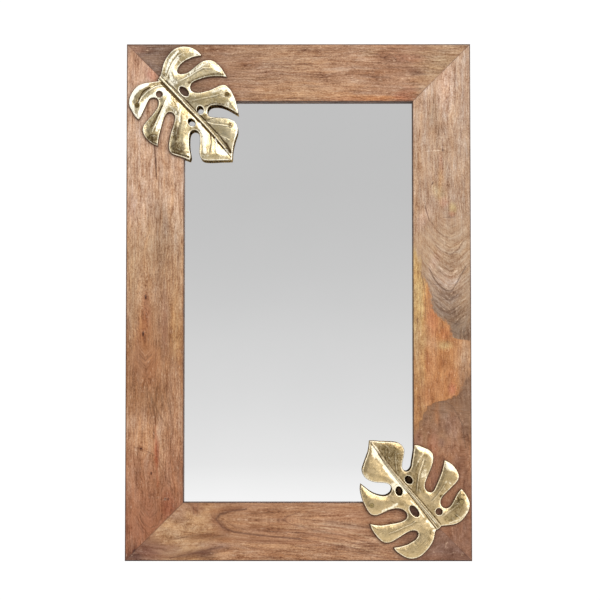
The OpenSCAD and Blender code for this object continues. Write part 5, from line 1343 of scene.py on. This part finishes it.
upper = Leaf(
    "leaf_upper_cast", LEAF_UP[0], False, UPPER_EDGE, LEAF_UP[3],
    [(158.5, 76), (165, 82.7), (174, 92), (186, 105.3), (202.3, 122), (215, 136), (226.8, 150.6), (231, 156)],
    ((1.9, 0.9), (1.9, 1.5)), [(2.4, 0.8, 0.8, 0.62), (3.6, 0.7, 0.4, 0.4)],
    [([(166, 84.5), (156, 86.5), (148, 91), (142, 97), (138, 104), (137, 110)], 1.0, 0.95, (0.2, 0.15)),
     ([(167, 97), (161, 112), (157, 121), (153, 130), (151.5, 134)], 1.0, 0.9, (0.2, 0.12)),
     ([(181, 106), (179, 118), (177, 130), (176, 142)], 0.5, 1.3, (0.2, 0.3)),
     ([(166, 80), (169.5, 70), (173, 62), (178, 56), (186, 51)], 0.8, 1.0, (0.15, 0.3)),
     ([(176, 82), (183, 79.5), (190, 76), (196, 71.5), (203, 68), (212, 68)], 0.8, 1.0, (0.2, 0.15)),
     ([(188, 101), (200, 99), (215, 96), (226, 92)], 0.5, 1.1, (0.2, 0.3)),
     ([(202, 120.5), (213, 124), (222, 125), (232, 127)], 0.8, 0.8, (0.1, 0.1)),
     ([(214, 133), (226, 138), (231, 141)], 0.5, 0.8, (0.2, 0.2)),
     ([(209, 131), (210.5, 142), (208.5, 153)], -0.5, 1.4, (0.2, 0.2)),
     ([(216, 140), (217, 152)], 0.4, 1.2, (0.2, 0.2))],
    [([(134, 99)], -0.8, 12), ([(172, 145)], 0.8, 12), ([(202, 130), (204, 150)], 0.8, 5), ([(216, 142), (217, 153)], 0.7, 4), ([(232, 100)], 0.6, 12), ([(210, 64)], 0.5, 12)],
    [(-86, -7, screw_top(-86, -7, UP_RIB)), (73, 12.5, screw_top(73, 12.5, UP_RIB))], [(-27, 78), (-17, -84)], 2.0, 0.9, UPPER_PATINA_SHADE, UPPER_POLISH_HIGHLIGHT)
lower = Leaf(
    "leaf_lower_cast", LEAF_LOW[0], True, LOWER_EDGE, LEAF_LOW[3],
    [(441, 530), (433, 520), (424, 508.5), (410.5, 492.5), (401, 482), (393, 472.5), (386, 463), (377.5, 450), (372, 443)],
    ((4.4, 1.0), (1.3, 1.1)), [(-0.85, 0.75, 0.75, 2), (0.85, 0.75, 0.75, 2), (0.0, 0.6, 0.35, 0.8)],
    [([(417, 520), (411, 524.3), (403, 527.5), (396, 531), (387, 534)], 0.7, 0.8, (0.1, 0.15)),
     ([(432, 527), (426, 539), (420, 545), (413, 550)], -0.35, 0.8, (0.2, 0.2)),
     ([(435, 531), (429, 541), (422, 549)], -0.3, 0.8, (0.2, 0.2)),
     ([(417, 494), (417.5, 484), (419, 474), (422, 465), (424.5, 457)], 0.9, 1.0, (0.15, 0.12)),
     ([(430, 503), (436, 497), (442, 489), (447, 480)], 0.45, 0.9, (0.2, 0.3)),
     ([(440, 518), (450, 511), (457, 506), (462, 499)], 0.4, 1.2, (0.2, 0.3)),
     ([(402, 483), (396.5, 470), (395.5, 460), (396, 449)], 0.6, 1.0, (0.2, 0.15)),
     ([(388, 465), (386, 456), (386, 447)], 0.4, 1.0, (0.2, 0.2))],
    [([(376, 452)], 0.6, 9), ([(395, 481)], 0.5, 8), ([(450, 467)], 0.5, 8)],
    [(-87, -2, screw_top(-87, -2, LOW_RIB)), (71, 4.5, screw_top(71, 4.5, LOW_RIB))], [(-22, 80), (-22, -84)], 7.0, 0.6, LOWER_PATINA_SHADE, LOWER_POLISH_HIGHLIGHT, blind=(2, 3))


def brass(name, seed, base, patina, polish_highlight_col, rough0, even_k):
    """Cast metal polished by hand: dark patina is left in the hollows, grooves and along some edges. Painted shade
    darkens given patches, one flank of the midrib and the sides; painted highlight makes given patches, the ridge tops
    and a line along the rounded edge pale.
    """
    g = Graph(name)
    X, Y, Z = g.xyz()
    s = seed
    edge, around, hollow, crest, deep, dark, bright = (g.attr(k) for k in ("edge_mm", "around_mm", "hollow", "crest", "deep", "dark", "bright"))
    n1 = g.noise((X * 0.06, s, Z * 0.06), detail=3.0, rough=0.6)
    n2 = g.noise((X * 0.20, s + 3.0, Z * 0.20), detail=3.0, rough=0.6)
    n3 = g.noise((X * 0.50, s + 6.0, Z * 0.50), detail=2.0, rough=0.6)
    hatch = g.noise((around * 0.50, edge * 0.07, s), detail=2.0, rough=0.6)
    near = g.step(edge, 9.0, 3.0)
    # patches of patina and painted shade and of polish and painted highlight, broken up by polishing marks, near the
    # edge in strokes square to it
    grain = g.math("MULTIPLY_ADD", n2 - 0.5, 1.5, (n3 - 0.5) * 2.3)
    grain = g.math("MULTIPLY_ADD", (hatch - 0.5) * near, 2.0, grain)
    # patina and painted shade where the dark strokes lie
    patina_shade_blots = g.step(g.math("MULTIPLY_ADD", grain, 0.8, dark), 0.10, 1.06) * g.step(dark, 0.02, 0.30)
    specks = g.step(g.math("MULTIPLY_ADD", n3, 0.6, n2 * 0.4), 0.56, 0.68) * g.step(n1, 0.42, 0.6) * (0.35 * even_k)
    pat = g.math("MAXIMUM", patina_shade_blots, specks)
    # polish and painted highlight where the bright strokes lie
    polish_highlight_mask = g.step(g.math("MULTIPLY_ADD", grain, 0.62 * even_k, bright), 0.12, 0.95) * g.step(bright, 0.02, 0.3)
    polish_highlight_mask = g.math("MAXIMUM", polish_highlight_mask, crest * g.step(n2, 0.25, 0.5, 0.35 * even_k, 0.7 * even_k))
    # painted highlight: a pale line along the rounded edge, patchy
    rim = g.step(g.math("ABSOLUTE", edge - 1.3), 1.0, 0.3) * g.step(n2, 0.30, 0.62, 0.25, 0.95)
    polish_highlight_mask = g.math("MAXIMUM", polish_highlight_mask, rim)
    tone = g.mix(g.step(n1, 0.3, 0.7), lin(base[0]), lin(base[1]))
    tone = g.scale_col(tone, g.math("MULTIPLY_ADD", n2 - 0.5, 0.70 * even_k, 1.0))
    tone = g.scale_col(tone, g.math("MULTIPLY_ADD", n3 - 0.5, 0.95 * even_k, 1.0))
    tone = g.scale_col(tone, g.math("MULTIPLY_ADD", (hatch - 0.5) * near, 0.8 * even_k, 1.0))
    # pale colour of the polish and painted highlight
    tone = g.mix(polish_highlight_mask, tone, lin(polish_highlight_col))
    depth = g.mix(g.step(dark, 0.45, 0.95), lin(patina[0]), lin(patina[1]))
    col = g.mix(pat * (1.0 - polish_highlight_mask * 0.6), tone, depth)
    # patina and painted shade in the grooves and round the screws
    hol = hollow * g.step(n2, 0.2, 0.5, 0.6, 1.0)
    col = g.mix(hol * (1.0 - polish_highlight_mask * 0.5), col, lin((66, 46, 22)))
    # the side is dull and painted dark at the front, patina and painted shade; the back face is a light raw brass, and
    # the posts and the webs of the blind holes are painted darkest, as shade
    side = g.step(edge, 0.62, 0.10)
    side_c = g.mix(g.step(deep, 0.0, 0.5), lin((92, 66, 36)), g.mix(g.step(deep, 1.0, 1.4), lin((180, 154, 104)), lin((50, 36, 24))))
    col = g.mix(side, col, side_c)
    rough = g.math("MULTIPLY_ADD", pat, 0.16, rough0)
    rough = g.math("MULTIPLY_ADD", polish_highlight_mask, 0.16, rough)
    rough = g.math("MULTIPLY_ADD", n2 - 0.5, 0.12, rough)
    rough = g.math("MULTIPLY_ADD", side, 0.15, rough)
    # less metallic under the polish and painted highlight, so it reads pale under any light
    metal = g.math("MULTIPLY_ADD", polish_highlight_mask, -0.55, 1.0)
    h = g.math("MULTIPLY_ADD", n3, 0.35, n2)
    h = g.math("MULTIPLY_ADD", hatch * near, 0.3, h)
    nor = g.bump(h, 0.20 * even_k, 0.0010)
    fine = g.noise((X * 1.6, Y * 1.6, Z * 1.6), detail=2.0)
    nor = g.bump(fine, 0.06, 0.0003, nor)
    return g.bsdf(col, rough, nor, metallic=metal)


gold_upper = brass("brass_cast_upper", 1.5, ((218, 203, 168), (200, 181, 138)), ((150, 130, 90), (80, 62, 38)), (255, 250, 232), 0.34, 1.35)
gold_lower = brass("brass_cast_lower", 8.5, ((210, 186, 143), (196, 171, 126)), ((128, 106, 66), (88, 70, 40)), (252, 242, 214), 0.35, 1.0)
for leaf, mat, node in ((upper, gold_upper, "upper_leaf"), (lower, gold_lower, "lower_leaf")):
    o = leaf.build()
    wear(o, mat)
    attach(o, "frame")
    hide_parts(node)
wear(nodes["upper_leaf_screws"], speckle("screw_brass_dark", (84, 68, 40), (132, 110, 68), 1.4, 0.38, 0.3, metallic=1.0))
wear(nodes["lower_leaf_screws"], speckle("screw_brass", (150, 130, 86), (196, 174, 122), 1.4, 0.36, 0.3, metallic=1.0))


# ------------------------------------------------- light, floor, backdrop

def area(name, loc, target, size, power, color=(1, 1, 1)):
    d = bpy.data.lights.new(name, "AREA")
    d.shape = "RECTANGLE"
    d.size, d.size_y = size
    d.energy = power
    d.color = color
    o = bpy.data.objects.new(name, d)
    SCENE.collection.objects.link(o)
    o.location = loc
    o.rotation_euler = (Vector(target) - Vector(loc)).to_track_quat("-Z", "Y").to_euler()
    o.visible_camera = False
    return o


area("softbox_key", (0.95, -2.2, 1.40), (0, 0, 0.1), (1.6, 1.2), 34)
area("softbox_top", (0.0, -0.9, 2.4), (0, 0, 0.1), (2.4, 1.0), 16)
area("softbox_left", (-2.4, -1.2, 0.7), (0, 0, 0), (1.0, 2.0), 20)
area("softbox_right", (2.4, -1.1, 0.2), (0, 0, 0), (1.0, 2.0), 20)

world = bpy.data.worlds.new("studio")
SCENE.world = world
world.use_nodes = True
wt = world.node_tree
wt.nodes.clear()
tc = wt.nodes.new("ShaderNodeTexCoord")
sep = wt.nodes.new("ShaderNodeSeparateXYZ")
wt.links.new(tc.outputs["Generated"], sep.inputs[0])
mr = wt.nodes.new("ShaderNodeMapRange")
mr.inputs["From Min"].default_value = -0.20
mr.inputs["From Max"].default_value = 0.30
wt.links.new(sep.outputs["Z"], mr.inputs["Value"])
ramp = wt.nodes.new("ShaderNodeValToRGB")
els = ramp.color_ramp.elements
while len(els) > 1:
    els.remove(els[-1])
# brightness of what stands in front of the glass, by height: a pale floor below, grey above
GRADE = [(-12.0, 1.02), (-4.6, 1.00), (-3.7, 0.955), (-3.2, 0.905), (-2.7, 0.845), (-1.4, 0.785), (-0.2, 0.735), (1.1, 0.695), (2.4, 0.645),
         (3.6, 0.612), (4.9, 0.587), (6.0, 0.572), (9.0, 0.568), (14.0, 0.55), (17.4, 0.50)]
for i, (deg, v) in enumerate(GRADE):
    p = (math.sin(math.radians(deg)) + 0.20) / 0.50
    e = els[0] if i == 0 else els.new(min(max(p, 0.0), 1.0))
    e.position = min(max(p, 0.0), 1.0)
    e.color = (v, v, v, 1.0)
wt.links.new(mr.outputs[0], ramp.inputs[0])
# away from what the glass shows, the room in front is darker
look = wt.nodes.new("ShaderNodeVectorMath")
look.operation = "DOT_PRODUCT"
wt.links.new(tc.outputs["Generated"], look.inputs[0])
look.inputs[1].default_value = Vector((0.0, -0.999, 0.045)).normalized()
cone = wt.nodes.new("ShaderNodeMapRange")
cone.interpolation_type = "SMOOTHSTEP"
cone.inputs["From Min"].default_value = math.cos(math.radians(24))
cone.inputs["From Max"].default_value = math.cos(math.radians(11))
wt.links.new(look.outputs["Value"], cone.inputs["Value"])
room = wt.nodes.new("ShaderNodeMix")
room.data_type = "RGBA"
wt.links.new(cone.outputs[0], room.inputs["Factor"])
# the room is bright at the upper right and dim at the lower left
dirn = wt.nodes.new("ShaderNodeVectorMath")
dirn.operation = "DOT_PRODUCT"
wt.links.new(tc.outputs["Generated"], dirn.inputs[0])
dirn.inputs[1].default_value = Vector((0.62, -0.42, 0.66)).normalized()
slope = wt.nodes.new("ShaderNodeMapRange")
slope.interpolation_type = "SMOOTHSTEP"
slope.inputs["From Min"].default_value = -0.05
slope.inputs["From Max"].default_value = 0.95
slope.inputs["To Min"].default_value = 0.12
slope.inputs["To Max"].default_value = 0.90
wt.links.new(dirn.outputs["Value"], slope.inputs["Value"])
wt.links.new(slope.outputs[0], [s for s in room.inputs if s.name == "A" and s.type == "RGBA"][0])
wt.links.new(ramp.outputs[0], [s for s in room.inputs if s.name == "B" and s.type == "RGBA"][0])
side = wt.nodes.new("ShaderNodeMapRange")
side.interpolation_type = "SMOOTHSTEP"
side.inputs["From Min"].default_value = -0.10
side.inputs["From Max"].default_value = 0.15
wt.links.new(sep.outputs["Y"], side.inputs["Value"])
mixw = wt.nodes.new("ShaderNodeMix")
mixw.data_type = "RGBA"
wt.links.new(side.outputs[0], mixw.inputs["Factor"])
wt.links.new([s for s in room.outputs if s.type == "RGBA"][0], [s for s in mixw.inputs if s.name == "A" and s.type == "RGBA"][0])
[s for s in mixw.inputs if s.name == "B" and s.type == "RGBA"][0].default_value = (1.05, 1.05, 1.05, 1.0)
bg = wt.nodes.new("ShaderNodeBackground")
wt.links.new([s for s in mixw.outputs if s.type == "RGBA"][0], bg.inputs["Color"])
bg.inputs["Strength"].default_value = 1.0
wo = wt.nodes.new("ShaderNodeOutputWorld")
wt.links.new(bg.outputs[0], wo.inputs[0])

SCENE.view_settings.view_transform = "Standard"
SCENE.view_settings.look = "None"

# a round pale floor, well below the hanging mirror
rings, seg = [0.0, 1.0, 2.0, 3.0, 4.0, 5.0, 6.0], 96
fv = [(0.0, 0.0, -1.45)]
for r in rings[1:]:
    fv += [(r * math.cos(2 * math.pi * k / seg), r * math.sin(2 * math.pi * k / seg), -1.45) for k in range(seg)]
ff = [(0, 1 + k, 1 + (k + 1) % seg) for k in range(seg)]
for j in range(len(rings) - 2):
    a, b = 1 + j * seg, 1 + (j + 1) * seg
    ff += [(a + k, b + k, b + (k + 1) % seg, a + (k + 1) % seg) for k in range(seg)]
fm = bpy.data.meshes.new("floor")
fm.from_pydata(fv, [], ff)
floor = bpy.data.objects.new("floor", fm)
SCENE.collection.objects.link(floor)
wear(floor, speckle("floor_plaster", (236, 236, 235), (244, 244, 243), 0.02, 0.85, 0.05))
